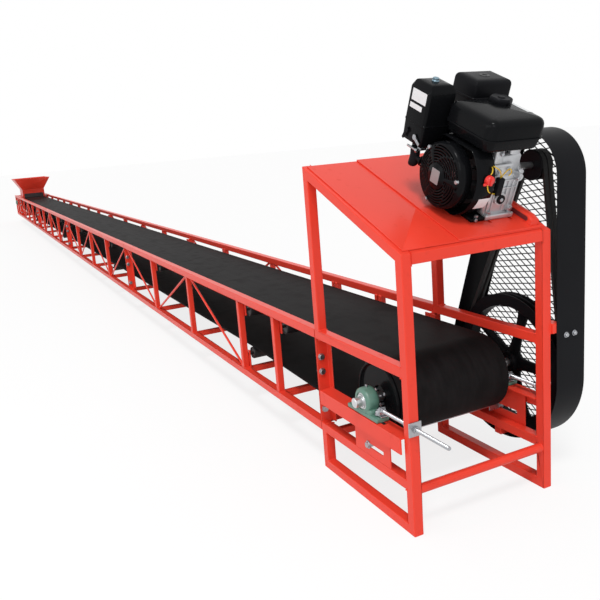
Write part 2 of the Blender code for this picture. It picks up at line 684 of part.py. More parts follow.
def roller(name, place, height, radius):
    """A roller with its axle ends, which turn in the notches of its brackets."""
    half = ROLLER_LENGTH / 2
    reach = INNER - GAP
    bm = bmesh.new()
    centre = (place, 0.0, height)
    add_turned(bm, [(AXLE_RADIUS, -reach), (AXLE_RADIUS, -half), (radius, -half), (radius, half),
                    (AXLE_RADIUS, half), (AXLE_RADIUS, reach)], centre, (0, 1, 0))
    finish(name, bm, IRON, origin=centre)


def head_bearing(name, side):
    """Pillow block of the head shaft, with the nut that holds its rear foot."""
    bm = bmesh.new()
    base = RAIL_TOP + GAP
    half = BEARING_LENGTH / 2
    ring = arc((0.0, BEARING_HEIGHT), BEARING_RING, -18, 198, 14)
    outline = [(-half, 0.0), (half, 0.0), (half, BEARING_FOOT), (BEARING_RING + 0.004, BEARING_FOOT)]
    outline += ring + [(-BEARING_RING - 0.004, BEARING_FOOT), (-half, BEARING_FOOT)]
    y = (side * BEARING_Y - BEARING_WIDTH / 2, side * BEARING_Y + BEARING_WIDTH / 2)
    add_prism(bm, [(DRUM_X + u, base + v) for u, v in outline], y)
    made = finish(name, bm, GREEN)
    nut = bmesh.new()
    add_hexagon(nut, (DRUM_X - BEARING_BOLT, side * BEARING_Y, base + BEARING_FOOT), (0, 0, 1), NUT_HEIGHT)
    weld(made, nut, name + "_nut")
    bore = bmesh.new()
    add_rod(bore, (DRUM_X, y[0] - 0.01, AXIS_Z), (DRUM_X, y[1] + 0.01, AXIS_Z), BORE)
    cut(made, bore, name + "_bore")


def tail_bearing(name, side):
    """Flange bearing on the tail plate."""
    start = MIDDLE + TAIL_PLATE_THICK / 2 + GAP
    bm = bmesh.new()
    profile = [(BORE, start), (0.045, start), (0.045, start + 0.010), (0.032, start + 0.026), (BORE, start + 0.026)]
    add_ring(bm, profile, (TAIL_X, 0.0, TAIL_Z), (0, side, 0))
    finish(name, bm, GREEN)


def takeup_rod(name, side):
    """Threaded rod that sets a head bearing along its rail. The long one runs through the front post to a square
    plate; the short one ends in a nut behind the post."""
    y = side * MIDDLE
    foot = RAIL_TOP + 2 * GAP + BEARING_FOOT
    eye_end = DRUM_X + BEARING_LENGTH / 2 + WELD + GAP
    rod = bmesh.new()
    long_rod = side == LONG_ROD_SIDE
    add_rod(rod, (eye_end - WELD, y, ROD_Z), (ROD_END if long_rod else POST_FRONT - GAP, y, ROD_Z), ROD_RADIUS)
    fittings = bmesh.new()
    add_box(fittings, (eye_end - ROD_EYE[0], eye_end), (y - ROD_EYE[1] / 2, y + ROD_EYE[1] / 2),
            (foot, foot + ROD_EYE[2]))
    add_hexagon(fittings, (DRUM_X + BEARING_BOLT, side * BEARING_Y, foot + ROD_EYE[2]), (0, 0, 1), NUT_HEIGHT)
    radius = BOLT_FLATS / math.sqrt(3)
    if long_rod:
        half, thick = TAKEUP_PLATE[0] / 2, TAKEUP_PLATE[1]
        add_box(fittings, (DRIVE_LENGTH + GAP, DRIVE_LENGTH + GAP + thick), (y - half, y + half),
                (ROD_Z - half, ROD_Z + half))
        add_turned(fittings, [(radius, 0.0), (radius, NUT_HEIGHT)], (DRIVE_LENGTH + thick, y, ROD_Z), (1, 0, 0), 6)
    add_turned(fittings, [(radius, GAP), (radius, NUT_HEIGHT)], (POST_FRONT, y, ROD_Z), (-1, 0, 0), 6)
    weld(finish(name, rod, ZINC), fittings, name + "_fittings")


# ---------------------------------------------------------------- V-belt drive and guard
def groove_rim(radius, inner):
    """Closed (radius, distance) profile of a rim with two V grooves."""
    half = PULLEY_WIDTH / 2
    floor = radius - GROOVE_DEPTH
    profile = [(inner, -half), (radius, -half)]
    for middle in (-GROOVE_PITCH / 2, GROOVE_PITCH / 2):
        profile += [(radius, middle - GROOVE_TOP), (floor, middle - GROOVE_FLOOR),
                    (floor, middle + GROOVE_FLOOR), (radius, middle + GROOVE_TOP)]
    return profile + [(radius, half), (inner, half)]


def head_pulley():
    """The large spoked pulley on the head shaft."""
    centre = Vector((DRUM_X, PULLEY_Y, AXIS_Z))
    inner = BIG_PULLEY_RADIUS - RIM_THICK
    half = PULLEY_WIDTH / 2
    bore = SHAFT_RADIUS + 2 * GAP
    bm = bmesh.new()
    add_ring(bm, groove_rim(BIG_PULLEY_RADIUS, inner), centre, (0, 1, 0), PULLEY_SEGS)
    made = finish("head_pulley", bm, IRON, origin=centre)
    bm = bmesh.new()
    add_ring(bm, [(bore, -half), (HUB_RADIUS, -half), (HUB_RADIUS, half), (bore, half)], centre, (0, 1, 0))
    for step in range(SPOKES):
        turn = math.tau * step / SPOKES
        out = Vector((math.cos(turn), 0.0, math.sin(turn)))
        across = Vector((-math.sin(turn), 0.0, math.cos(turn)))
        rings = []
        for distance, width in ((HUB_RADIUS - 4 * WELD, SPOKE[0] * 1.2), (inner + 2 * WELD, SPOKE[0])):
            rings.append([centre + distance * out + u * width / 2 * across + Vector((0, v * SPOKE[1] / 2, 0))
                          for u, v in ((-1, -1), (1, -1), (1, 1), (-1, 1))])
        skin(bm, rings)
    weld(made, bm, "pulley_arms")


def v_belt(name, middle):
    """A V-belt, clear of the flanks of its grooves."""
    bm = bmesh.new()
    slope = (GROOVE_TOP - GROOVE_FLOOR) / GROOVE_DEPTH
    loops = []
    for depth in VBELT_DEPTH:
        loops.append(loop_round((DRUM_X, AXIS_Z), BIG_PULLEY_RADIUS - depth,
                                (CRANK_X, CRANK_Z), SMALL_PULLEY_RADIUS - depth, 24, 12))
    widths = [GROOVE_TOP - slope * depth - VBELT_CLEARANCE for depth in VBELT_DEPTH]
    skin(bm, [[(a[0], middle - widths[0], a[1]), (a[0], middle + widths[0], a[1]),
               (b[0], middle + widths[1], b[1]), (b[0], middle - widths[1], b[1])]
              for a, b in zip(*loops)], closed_along=True)
    finish(name, bm, RUBBER)


def guard_outline(inset):
    """The guard's outline, a given distance inside its outer face."""
    return loop_round((DRUM_X, AXIS_Z), GUARD_BOTTOM_RADIUS - inset, GUARD_TOP, GUARD_TOP_RADIUS - inset,
                      *GUARD_STEPS)


def guard_side(z, right):
    """Where a height meets the inside of the band's straight front or rear run."""
    line = guard_outline(GUARD_SHEET + GAP)
    turn = GUARD_STEPS[1]
    start, end = (line[-1], line[0]) if right else (line[turn], line[turn + 1])
    share = (z - start[1]) / (end[1] - start[1])
    return start[0] + share * (end[0] - start[0])


def guard():
    """The sheet band round both pulleys, and the mesh that closes its outer side."""
    bm = bmesh.new()
    skin(bm, [[(a[0], GUARD_Y[0], a[1]), (a[0], GUARD_Y[1], a[1]), (b[0], GUARD_Y[1], b[1]), (b[0], GUARD_Y[0], b[1])]
              for a, b in zip(guard_outline(0.0), guard_outline(GUARD_SHEET))], closed_along=True)
    finish("guard_band", bm, BLACK)

    bm = bmesh.new()
    add_prism(bm, guard_outline(GUARD_SHEET + GAP), (GUARD_Y[1] - MESH_THICK, GUARD_Y[1]))
    finish("guard_mesh", bm, BLACK)


# ---------------------------------------------------------------- hopper
def hopper():
    """The loading hopper: a chute over the belt, a flared mouth, and the flat rails that carry it."""
    bm = bmesh.new()
    rings = []
    for inset, heights in ((0.0, (0, 1, 2)), (HOPPER_SHEET, (2, 1, 0))):
        for level in heights:
            half_x, half_y = HOPPER_MOUTH if level == 2 else HOPPER_NECK
            half_x, half_y = half_x - inset, half_y - inset
            corners = ((-half_x, -half_y), (half_x, -half_y), (half_x, half_y), (-half_x, half_y))
            rings.append([(HOPPER_X + u, v, HOPPER_Z[level]) for u, v in corners])
    skin(bm, rings, closed_along=True)
    made = finish("hopper", bm, RED)
    rails = bmesh.new()
    for side in SIDES:
        add_box(rails, (HOPPER_X - HOPPER_RAIL / 2, HOPPER_X + HOPPER_RAIL / 2),
                span(side, HOPPER_NECK[1] - WELD, HALF), (TOP_CHORD[1] + GAP, TOP_CHORD[1] + GAP + RAIL_THICK))
    weld(made, rails, "hopper_rails")
    outlet = bmesh.new()
    width = HOPPER_NECK[1] - 0.020
    add_box(outlet, (HOPPER_X + HOPPER_NECK[0] - 0.02, HOPPER_X + HOPPER_NECK[0] + 0.02), (-width, width),
            (HOPPER_Z[0] - 0.02, HOPPER_Z[0] + HOPPER_OUTLET))
    cut(made, outlet, "hopper_outlet")

    bm = bmesh.new()
    inside = HOPPER_SHEET + GAP
    front = HOPPER_X + HOPPER_NECK[0] - inside
    rear = HOPPER_X - HOPPER_NECK[0] + inside
    out = HOPPER_NECK[1] - inside
    within = out - SKIRT_THICK
    wall = rear + SKIRT_THICK
    outline = [(front, -out), (front, -within), (wall, -within), (wall, within), (front, within), (front, out),
               (rear, out), (rear, -out)]
    skin(bm, [[(u, v, z) for u, v in outline] for z in (BELT_TOP + GAP, SKIRT_TOP)])
    finish("hopper_skirt", bm, RUBBER)


# ---------------------------------------------------------------- engine, drawn square to the deck
def crank_ring(bm, profile, segs=SEGS):
    """A closed profile turned about the crankshaft; distances are Y."""
    add_ring(bm, profile, (0.0, 0.0, CRANK_HEIGHT), (0, 1, 0), segs)


def crankcase():
    """Crankcase on its feet, with the shaft cover, the tank's bosses and the base bolts."""
    bm = bmesh.new()
    add_prism(bm, [(-0.080, ENGINE_BASE_Z - WELD), (0.080, ENGINE_BASE_Z - WELD), (0.084, 0.120),
                   (0.060, CASE_TOP), (-0.055, CASE_TOP), (-0.080, 0.150)], CASE_Y)
    case = finish("crankcase", bm, ALUMINIUM, engine_datum)
    joined = bmesh.new()
    add_box(joined, (-ENGINE_BASE_X, ENGINE_BASE_X), ENGINE_BASE_Y, (0.0, ENGINE_BASE_Z))
    crank_cover = [(0.062, CASE_Y[1] - WELD), (0.058, CASE_Y[1] + 0.012), (0.028, CASE_Y[1] + 0.020)]
    add_turned(joined, crank_cover, (0.0, 0.0, CRANK_HEIGHT), (0, 1, 0))
    for x in SIDES:
        for y in (0.095, 0.160):
            middle = x * BOSS_SPACING
            add_box(joined, (middle - 0.012, middle + 0.012), (y - 0.012, y + 0.012),
                    (CASE_TOP - WELD, TANK_BOTTOM - GAP))
    middle = sum(ENGINE_BASE_Y) / 2
    for end in SIDES:
        for across in SIDES:
            seat = (end * (ENGINE_BASE_X - 0.0072), middle + across * ENGINE_BOLTS[1], ENGINE_BASE_Z)
            add_hexagon(joined, seat, (0, 0, 1), HEAD_HEIGHT, 0.012)
    weld(case, joined, "crankcase_fittings")
    hole = bmesh.new()
    add_rod(hole, (0.0, CASE_Y[0] - 0.01, CRANK_HEIGHT), (0.0, CASE_Y[1] + 0.03, CRANK_HEIGHT),
            CRANK_RADIUS + 3 * GAP)
    cut(case, hole, "crank_bore")


def cylinder():
    """Finned cylinder, leaning out of the crankcase."""
    bm = bmesh.new()
    add_box(bm, CYLINDER_X, (CYLINDER_Y[0] + FIN_DEPTH, CYLINDER_Y[1] - FIN_DEPTH), CYLINDER_Z)
    made = finish("cylinder", bm, ALUMINIUM, engine_datum)
    fins = bmesh.new()
    for step in range(FINS):
        start = CYLINDER_X[0] + (CYLINDER_X[1] - CYLINDER_X[0] - FIN_THICK) * step / (FINS - 1)
        start += WELD * (1 - 2 * step / (FINS - 1))
        add_box(fins, (start, start + FIN_THICK), CYLINDER_Y, (CYLINDER_Z[0] + WELD, CYLINDER_Z[1] - WELD))
    weld(made, fins, "cylinder_fins")


def fan_shroud():
    """The pressed fan housing: a cup with a flat top and foot and a hole for the crankshaft."""
    bm = bmesh.new()
    front, back = SHROUD_Y
    rings = []
    for radius, y, wall in ((SHROUD_RADIUS, front, 0.0), (SHROUD_RADIUS, back, 0.0),
                            (CRANK_RADIUS + 3 * GAP, back, 0.0), (CRANK_RADIUS + 3 * GAP, back - SHELL, 0.0),
                            (SHROUD_RADIUS - SHELL, back - SHELL, SHELL), (SHROUD_RADIUS - SHELL, front, SHELL)):
        turns = [math.tau * step / DRUM_SEGS for step in range(DRUM_SEGS)]
        rings.append([(radius * math.cos(turn), y,
                       min(max(CRANK_HEIGHT + radius * math.sin(turn), SHROUD_FOOT + wall), SHROUD_LID - wall))
                      for turn in turns])
    skin(bm, rings, closed_along=True)
    finish("fan_shroud", bm, BLACK, engine_datum)


def recoil_cover():
    """The domed starter cover on the fan housing."""
    back = SHROUD_Y[0] - GAP
    front = back - RECOIL_DEPTH
    outer = RECOIL_RADIUS
    inner = outer - SHELL
    profile = [(0.030, front), (0.070, front + 0.004), (outer, front + 0.020), (outer, back),
               (inner, back), (inner, front + 0.022), (0.069, front + 0.007), (0.030, front + SHELL)]
    bm = bmesh.new()
    add_turned(bm, profile, (0.0, 0.0, CRANK_HEIGHT), (0, 1, 0), DRUM_SEGS)
    finish("recoil_cover", bm, BLACK, engine_datum)


def soft_block(bm, x, y, levels, corner, steps=4):
    """A block with rounded upright corners; each level is a height and an inset."""
    rings = []
    for z, inset in levels:
        radius = max(corner - inset, 0.002)
        ring = []
        for index, (cx, cy) in enumerate(((x[1], y[1]), (x[0], y[1]), (x[0], y[0]), (x[1], y[0]))):
            lean_x = -1 if cx == x[1] else 1
            lean_y = -1 if cy == y[1] else 1
            centre = (cx + lean_x * (inset + radius), cy + lean_y * (inset + radius))
            ring += [(u, v, z) for u, v in arc(centre, radius, 90 * index, 90 * index + 90, steps)]
        rings.append(ring)
    skin(bm, rings)


def tank():
    """The fuel tank and its turning cap."""
    bm = bmesh.new()
    seam = (TANK_BOTTOM + TANK_TOP) / 2
    levels = [(TANK_BOTTOM, 0.014), (TANK_BOTTOM + 0.010, 0.005), (seam, 0.0),
              (TANK_TOP - 0.014, 0.005), (TANK_TOP - 0.004, 0.013), (TANK_TOP, 0.026)]
    soft_block(bm, TANK_X, TANK_Y, levels, 0.030)
    finish("fuel_tank", bm, BLACK, engine_datum)
    bm = bmesh.new()
    top = (CAP_PLACE[0], CAP_PLACE[1], TANK_TOP)
    add_turned(bm, [(CAP_RADIUS - 0.002, GAP), (CAP_RADIUS, 0.004), (CAP_RADIUS, 0.018), (CAP_RADIUS - 0.006, 0.026)],
               top, (0, 0, 1), 24)
    finish("fuel_cap", bm, BLACK, engine_datum, top)


def intake_and_exhaust():
    """Air cleaner, carburettor and muffler, round the cylinder head."""
    bm = bmesh.new()
    levels = [(CLEANER_Z[0], 0.006), (CLEANER_Z[0] + 0.02, 0.0), (CLEANER_Z[1] - 0.014, 0.003),
              (CLEANER_Z[1] - 0.004, 0.007), (CLEANER_Z[1], 0.014)]
    soft_block(bm, CLEANER_X, CLEANER_Y, levels, 0.022)
    made = finish("air_cleaner", bm, BLACK, engine_datum)
    middle = (sum(CLEANER_X) / 2, sum(CLEANER_Y) / 2, CLEANER_Z[1])
    bm = bmesh.new()
    add_turned(bm, [(0.009, -WELD), (0.009, 0.009), (0.004, 0.012)], middle, (0, 0, 1), 8)
    weld(made, bm, "cleaner_knob")
    relief = bmesh.new()
    clear = (SHROUD_RADIUS + GAP) / math.cos(math.pi / DRUM_SEGS)
    add_rod(relief, (0.0, SHROUD_Y[0] - 2 * GAP, CRANK_HEIGHT), (0.0, SHROUD_Y[1], CRANK_HEIGHT), clear, DRUM_SEGS)
    cut(made, relief, "cleaner_relief")

    bm = bmesh.new()
    add_box(bm, (-0.155, -0.110), (CLEANER_Y[1] + GAP, CYLINDER_Y[0] - GAP), (0.150, 0.184))
    finish("carburettor", bm, ALUMINIUM, engine_datum)

    bm = bmesh.new()
    levels = [(MUFFLER_Z[0], 0.006), (MUFFLER_Z[0] + 0.01, 0.0), (MUFFLER_Z[1] - 0.014, 0.0),
              (MUFFLER_Z[1] - 0.004, 0.005), (MUFFLER_Z[1], 0.013)]
    soft_block(bm, MUFFLER_X, MUFFLER_Y, levels, 0.022)
    made = finish("muffler", bm, BLACK, engine_datum)
    pipe = (sum(MUFFLER_X) / 2, CYLINDER_Y[1] - 0.035)
    bm = bmesh.new()
    add_rod(bm, (*pipe, CYLINDER_Z[1] + GAP), (*pipe, MUFFLER_Z[0] + WELD), 0.014)
    weld(made, bm, "muffler_pipe")


def crank_train():
    """Crankshaft, the driving pulley on its end and the fan on its other end."""
    centre = (0.0, PULLEY_Y, CRANK_HEIGHT)
    bm = bmesh.new()
    add_rod(bm, (0.0, CRANK_Y[0], CRANK_HEIGHT), (0.0, CRANK_Y[1], CRANK_HEIGHT), CRANK_RADIUS)
    finish("crankshaft", bm, ZINC, engine_datum, centre)

    bore = CRANK_RADIUS + 2 * GAP
    bm = bmesh.new()
    add_ring(bm, groove_rim(SMALL_PULLEY_RADIUS, bore), centre, (0, 1, 0), PULLEY_SEGS // 2)
    finish("engine_pulley", bm, IRON, engine_datum, centre)

    bm = bmesh.new()
    plate = FAN_Y[1] - 0.006
    crank_ring(bm, [(bore, plate), (FAN_RADIUS, plate), (FAN_RADIUS, FAN_Y[1]), (bore, FAN_Y[1])], DRUM_SEGS)
    made = finish("flywheel_fan", bm, IRON, engine_datum, (0.0, FAN_Y[1], CRANK_HEIGHT))
    bm = bmesh.new()
    for step in range(FAN_BLADES):
        turn = math.tau * step / FAN_BLADES
        out = Vector((math.cos(turn), 0.0, math.sin(turn)))
        across = Vector((-math.sin(turn), 0.0, math.cos(turn)))
        rings = []
        for distance in (0.050, FAN_RADIUS - 0.004):
            middle = Vector((0.0, 0.0, CRANK_HEIGHT)) + distance * out
            rings.append([middle + u * 0.0015 * across + Vector((0.0, y, 0.0))
                          for u, y in ((-1, FAN_Y[0]), (1, FAN_Y[0]), (1, plate + WELD), (-1, plate + WELD))])
        skin(bm, rings)
    weld(made, bm, "fan_blades")


def lever(name, pivot, reach, look):
    """A flat lever with a round eye, on the near face of the air cleaner."""
    face = CLEANER_Y[0] - GAP
    eye = bmesh.new()
    add_turned(eye, [(0.008, 0.0), (0.008, LEVER_THICK)], (pivot[0], face - LEVER_THICK, pivot[1]), (0, 1, 0))
    made = finish(name, eye, look, engine_datum, (pivot[0], face, pivot[1]))
    length = math.hypot(*reach)
    along = Vector((reach[0] / length, 0.0, reach[1] / length))
    across = Vector((-along.z, 0.0, along.x))
    start = Vector((pivot[0], 0.0, pivot[1]))
    near, far = face - LEVER_THICK * 0.9, face - LEVER_THICK * 0.1
    rings = []
    for distance, half in ((0.002, 0.005), (length, 0.004)):
        rings.append([start + distance * along + u * half * across + Vector((0.0, y, 0.0))
                      for u, y in ((-1, near), (1, near), (1, far), (-1, far))])
    arm = bmesh.new()
    skin(arm, rings)
    weld(made, arm, name + "_arm")


def hand_controls():
    """Starter grip, throttle and choke levers, and the stop switch."""
    x, y = GRIP_PLACE
    middle = sum(GRIP_Z) / 2
    bm = bmesh.new()
    add_rod(bm, (x, y, GRIP_Z[0]), (x, y, GRIP_Z[1]), GRIP_RADIUS, 12)
    made = finish("starter_grip", bm, BLACK, engine_datum, (x, y, middle))
    bm = bmesh.new()
    add_rod(bm, (x, y, middle), (-RECOIL_RADIUS - GAP, y, middle), 0.008, 12)
    weld(made, bm, "grip_stem")
    lever("throttle_lever", THROTTLE_PIVOT, (0.026, -0.014), ZINC)
    lever("choke_lever", CHOKE_PIVOT, (-0.012, -0.026), BLACK)
    bm = bmesh.new()
    place = (SWITCH_X[0], SWITCH_PLACE[0], SWITCH_PLACE[1])
    depth = SWITCH_X[1] - SWITCH_X[0]
    add_turned(bm, [(SWITCH_RADIUS, 0.0), (SWITCH_RADIUS, depth - 0.004), (SWITCH_RADIUS - 0.003, depth)],
               place, (1, 0, 0), 12)
    finish("engine_switch", bm, RED, engine_datum, place)


# ---------------------------------------------------------------- the whole conveyor
drive_frame()
scraper_bar()
for word, hand in (("left", -1), ("right", 1)):
    bearing_rail("bearing_rail_" + word, hand)
    scraper_plate("scraper_plate_" + word, hand)
    head_bearing("head_bearing_" + word, hand)
    tail_bearing("tail_bearing_" + word, hand)
    takeup_rod("takeup_rod_" + word, hand)
deck()
for number in range(SEGMENTS):
    truss_segment(number)
tail_frame()
conveyor_belt()
drum("head_drum", (DRUM_X, 0.0, AXIS_Z), DRUM_RADIUS)
shaft("head_shaft", (DRUM_X, 0.0, AXIS_Z), -HEAD_SHAFT_LEFT, HEAD_SHAFT_RIGHT)
drum("tail_drum", (TAIL_X, 0.0, TAIL_Z), TAIL_RADIUS)
shaft("tail_shaft", (TAIL_X, 0.0, TAIL_Z), -TAIL_SHAFT_REACH, TAIL_SHAFT_REACH)
for number, station in enumerate(CARRY_PLACES, 1):
    roller(f"carrying_roller_{number}", station, ROLLER_Z, ROLLER_RADIUS)
for number, station in enumerate(RETURN_PLACES, 1):
    roller(f"return_roller_{number}", station, RETURN_Z, RETURN_RADIUS)
head_pulley()
v_belt("v_belt_inner", PULLEY_Y - GROOVE_PITCH / 2)
v_belt("v_belt_outer", PULLEY_Y + GROOVE_PITCH / 2)
guard()
hopper()
crankcase()
cylinder()
fan_shroud()
recoil_cover()
tank()
intake_and_exhaust()
crank_train()
hand_controls()
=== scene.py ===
"""Finish and studio for the truss belt conveyor: each visible piece gets its own surface and material."""

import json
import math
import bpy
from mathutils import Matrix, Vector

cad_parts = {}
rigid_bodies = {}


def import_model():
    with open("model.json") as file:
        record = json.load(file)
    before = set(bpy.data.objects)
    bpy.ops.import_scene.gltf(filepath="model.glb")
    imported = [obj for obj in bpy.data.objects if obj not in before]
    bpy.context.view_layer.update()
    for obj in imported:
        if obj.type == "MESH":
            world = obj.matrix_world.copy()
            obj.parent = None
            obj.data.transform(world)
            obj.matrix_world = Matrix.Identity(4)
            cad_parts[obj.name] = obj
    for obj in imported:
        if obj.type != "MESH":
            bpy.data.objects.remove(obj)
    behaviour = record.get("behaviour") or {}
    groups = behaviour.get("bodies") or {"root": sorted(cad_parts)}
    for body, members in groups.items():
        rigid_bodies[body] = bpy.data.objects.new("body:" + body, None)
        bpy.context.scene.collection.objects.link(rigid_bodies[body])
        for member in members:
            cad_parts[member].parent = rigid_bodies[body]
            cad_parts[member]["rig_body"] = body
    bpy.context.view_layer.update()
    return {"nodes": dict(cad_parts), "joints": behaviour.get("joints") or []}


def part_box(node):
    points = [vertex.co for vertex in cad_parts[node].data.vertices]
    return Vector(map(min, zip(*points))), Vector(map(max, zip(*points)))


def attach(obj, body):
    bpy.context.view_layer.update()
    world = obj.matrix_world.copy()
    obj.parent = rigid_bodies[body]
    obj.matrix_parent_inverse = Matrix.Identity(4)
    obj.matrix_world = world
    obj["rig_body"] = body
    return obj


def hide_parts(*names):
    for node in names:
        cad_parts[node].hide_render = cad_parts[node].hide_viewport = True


bl_info = {
    "name": "Truss Belt Conveyor",
    "version": (1, 0, 0),
    "blender": (4, 5, 0),
    "location": "3D View > Sidebar > Conveyor",
    "description": "Builds the finished surfaces of an engine-driven belt conveyor around its frame",
    "category": "Object",
}

from itertools import product

import bpy
import numpy as np
from bpy.props import FloatProperty, FloatVectorProperty, IntProperty, PointerProperty
from mathutils import Matrix, Vector

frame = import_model()
NODES = frame["nodes"]
JOINTS = {joint["name"]: joint for joint in frame["joints"]}
BELT_LOW, BELT_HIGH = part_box("conveyor_belt")
START = np.array([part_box("drive_frame")[0].x, (BELT_LOW.y + BELT_HIGH.y) / 2, 0.0])   # frame's rear, mid belt, floor
ACROSS, UP = np.array([0.0, 1.0, 0.0]), np.array([0.0, 0.0, 1.0])
SLOPE = np.array(JOINTS["switch_turn"]["axis"])                # down the deck
RISE = np.array(JOINTS["cap_turn"]["axis"])                    # square to the deck
CRANK = np.array(JOINTS["crank_turn"]["pos_m"])
HEAD = np.array(JOINTS["head_drive"]["pos_m"])
TAIL = np.array(JOINTS["tail_turn"]["pos_m"])

TUBE = 0.030                                                   # outside width of the square tube
FRONT_POST = 0.488                                             # rear face of the drive frame's front post
RAILS = (0.130, 0.160, 0.450, 0.480)                           # faces of the lower and upper chords, above the floor
PANEL, PANELS_IN_SEGMENT = 0.7125, 4                           # spacing of the truss uprights
BELT_THICK = 0.007
BIG_PULLEY, SMALL_PULLEY = 0.225, 0.045                        # outside radii
BELT_DEPTHS = (0.0105, 0.0005)                                 # of a V-belt's inner and outer faces in its groove
M6_HEAD, M12_HEAD = (0.0105, 0.006), (0.0186, 0.0078)          # across the flats, height
TAKEUP_FLATS = 0.0180


# ---------------------------------------------------------------- sizes and colours
def length(name, default, description):
    return FloatProperty(name=name, description=description, default=default, unit="LENGTH")


def slope(name, degrees, description):
    return FloatProperty(name=name, description=description, default=math.radians(degrees), unit="ROTATION")


def tone(name, default, description):
    return FloatVectorProperty(name=name, description=description, default=default, subtype="COLOR")


class ConveyorSizes(bpy.types.PropertyGroup):
    tube_edge: length("Tube edge", 0.0028, "Rounding of the square tube's corners")
    weld_width: length("Weld width", 0.0035, "Radius of the weld beads")
    crank_height: length("Crank height", 0.106, "Crankshaft above the engine's feet")
    mesh_pitch: length("Mesh pitch", 0.0192, "Distance between the strands of the guard mesh")
    mesh_rise: slope("Mesh rise", 9, "Slope of the strands that rise towards the discharge end")
    mesh_fall: slope("Mesh fall", 36, "Slope of the strands that fall towards the discharge end")
    mesh_strand: length("Mesh strand", 0.0032, "Width of a strand in the guard mesh")
    round_steps: IntProperty(name="Round steps", description="Steps round a turned piece", default=72, min=24, max=128)


class ConveyorColours(bpy.types.PropertyGroup):
    powder_coat: tone("Powder coat", (0.77, 0.050, 0.027), "Paint of the frame and hopper")
    belt_rubber: tone("Belt rubber", (0.0085, 0.0078, 0.0080), "Rubber of the belt")
    engine_black: tone("Engine black", (0.0045, 0.0048, 0.0056), "Moulded and painted covers of the engine")
    guard_black: tone("Guard black", (0.0060, 0.0062, 0.0075), "Paint of the belt guard")
    cast_alloy: tone("Cast alloy", (0.60, 0.61, 0.63), "Crankcase and cylinder")
    zinc_plate: tone("Zinc plate", (0.40, 0.41, 0.43), "Bolts, rods and shafts")
    bearing_green: tone("Bearing green", (0.085, 0.19, 0.145), "Paint of the pillow blocks")


def sizes():
    return bpy.context.scene.conveyor_sizes


def colours():
    return bpy.context.scene.conveyor_colours


# ---------------------------------------------------------------- shader expressions
class Signal:
    """A node socket that Python's operators turn into Math nodes."""

    def __init__(self, tree, socket=None):
        self.tree, self.socket = tree, socket

    def node(self, kind, inputs=(), out=0, **settings):
        """Adds a node: its settings first, then values or links for its sockets, by name or number."""
        made = self.tree.nodes.new(kind)
        for name, value in settings.items():
            setattr(made, name, value)
        for name, value in dict(inputs).items():
            if isinstance(value, Signal):
                self.tree.links.new(value.socket, made.inputs[name])
            else:
                made.inputs[name].default_value = value
        return Signal(self.tree, made.outputs[out])

    def math(self, operation, first, second):
        return self.node("ShaderNodeMath", {0: first, 1: second}, operation=operation)

    def __add__(self, other):
        return self.math("ADD", self, other)

    def __radd__(self, other):
        return self.math("ADD", other, self)

    def __mul__(self, other):
        return self.math("MULTIPLY", self, other)

    def __gt__(self, other):
        return self.math("GREATER_THAN", self, other)

    def ramp(self, low, high):
        """0 below low, 1 above high."""
        return self.node("ShaderNodeMapRange", {0: self, 1: low, 2: high, 3: 0.0, 4: 1.0})

    def over(self, under, light):
        """A colour laid over another signal's colour, by this signal."""
        return self.node("ShaderNodeMix", {0: self, 6: under, 7: (*light, 1.0)}, out=2, data_type="RGBA")

    def blend(self, dark, light):
        """A colour between two, by this signal."""
        return self.over((*dark, 1.0), light)


class Finish:
    """A Principled material being made: its shader, the place of a point on it, and the noises laid over it."""

    def __init__(self, name, roughness, metallic=0.0, coat=0.0, coat_roughness=0.1, specular=0.5):
        self.material = bpy.data.materials.new(name)
        self.material.use_nodes = True
        self.tree = self.material.node_tree
        self.shader = self.tree.nodes["Principled BSDF"]
        for socket, value in (("Roughness", roughness), ("Metallic", metallic), ("Specular IOR Level", specular),
                              ("Coat Weight", coat), ("Coat Roughness", coat_roughness)):
            self.shader.inputs[socket].default_value = value
        self.start = Signal(self.tree)
        self.place = self.start.node("ShaderNodeTexCoord", out=3)

    def noise(self, scale, detail, stretch=None):
        vector = self.start.node("ShaderNodeMapping", {0: self.place, 3: stretch}) if stretch else self.place
        return self.start.node("ShaderNodeTexNoise", {"Vector": vector, "Scale": scale, "Detail": detail})

    def link(self, colour, roughness, dents, strength, distance):
        """Links the colour, the roughness and the dents to the shader, and returns the material."""
        bump = self.start.node("ShaderNodeBump", {"Strength": strength, "Distance": distance, "Height": dents})
        for socket, signal in (("Base Color", colour), ("Roughness", roughness), ("Normal", bump)):
            self.tree.links.new(signal.socket, self.shader.inputs[socket])
        return self.material


def tint(colour, factor):
    return tuple(min(channel * factor, 1.0) for channel in colour)


def layered(name, base, middle, rough, cloud, shades, grain, dent, patch=None, **shader):
    """A surface of layers: a cloud between two shades of the base, patches of another colour over it, and a grain that
    dents it. The roughness is a floor, plus the cloud by its share, plus the patches by theirs."""
    finish = Finish(name, middle, **shader)
    clouds = finish.noise(*cloud)
    colour = clouds.blend(tint(base, shades[0]), tint(base, shades[1]))
    roughness = rough[0] + clouds * rough[1]
    if patch:
        scale, detail, low, high, share, over = patch
        spots = finish.noise(scale, detail).ramp(low, high)
        colour = (spots * share).over(colour, over)
        roughness = roughness + spots * rough[2]
    return finish.link(colour, roughness, finish.noise(*grain), *dent)


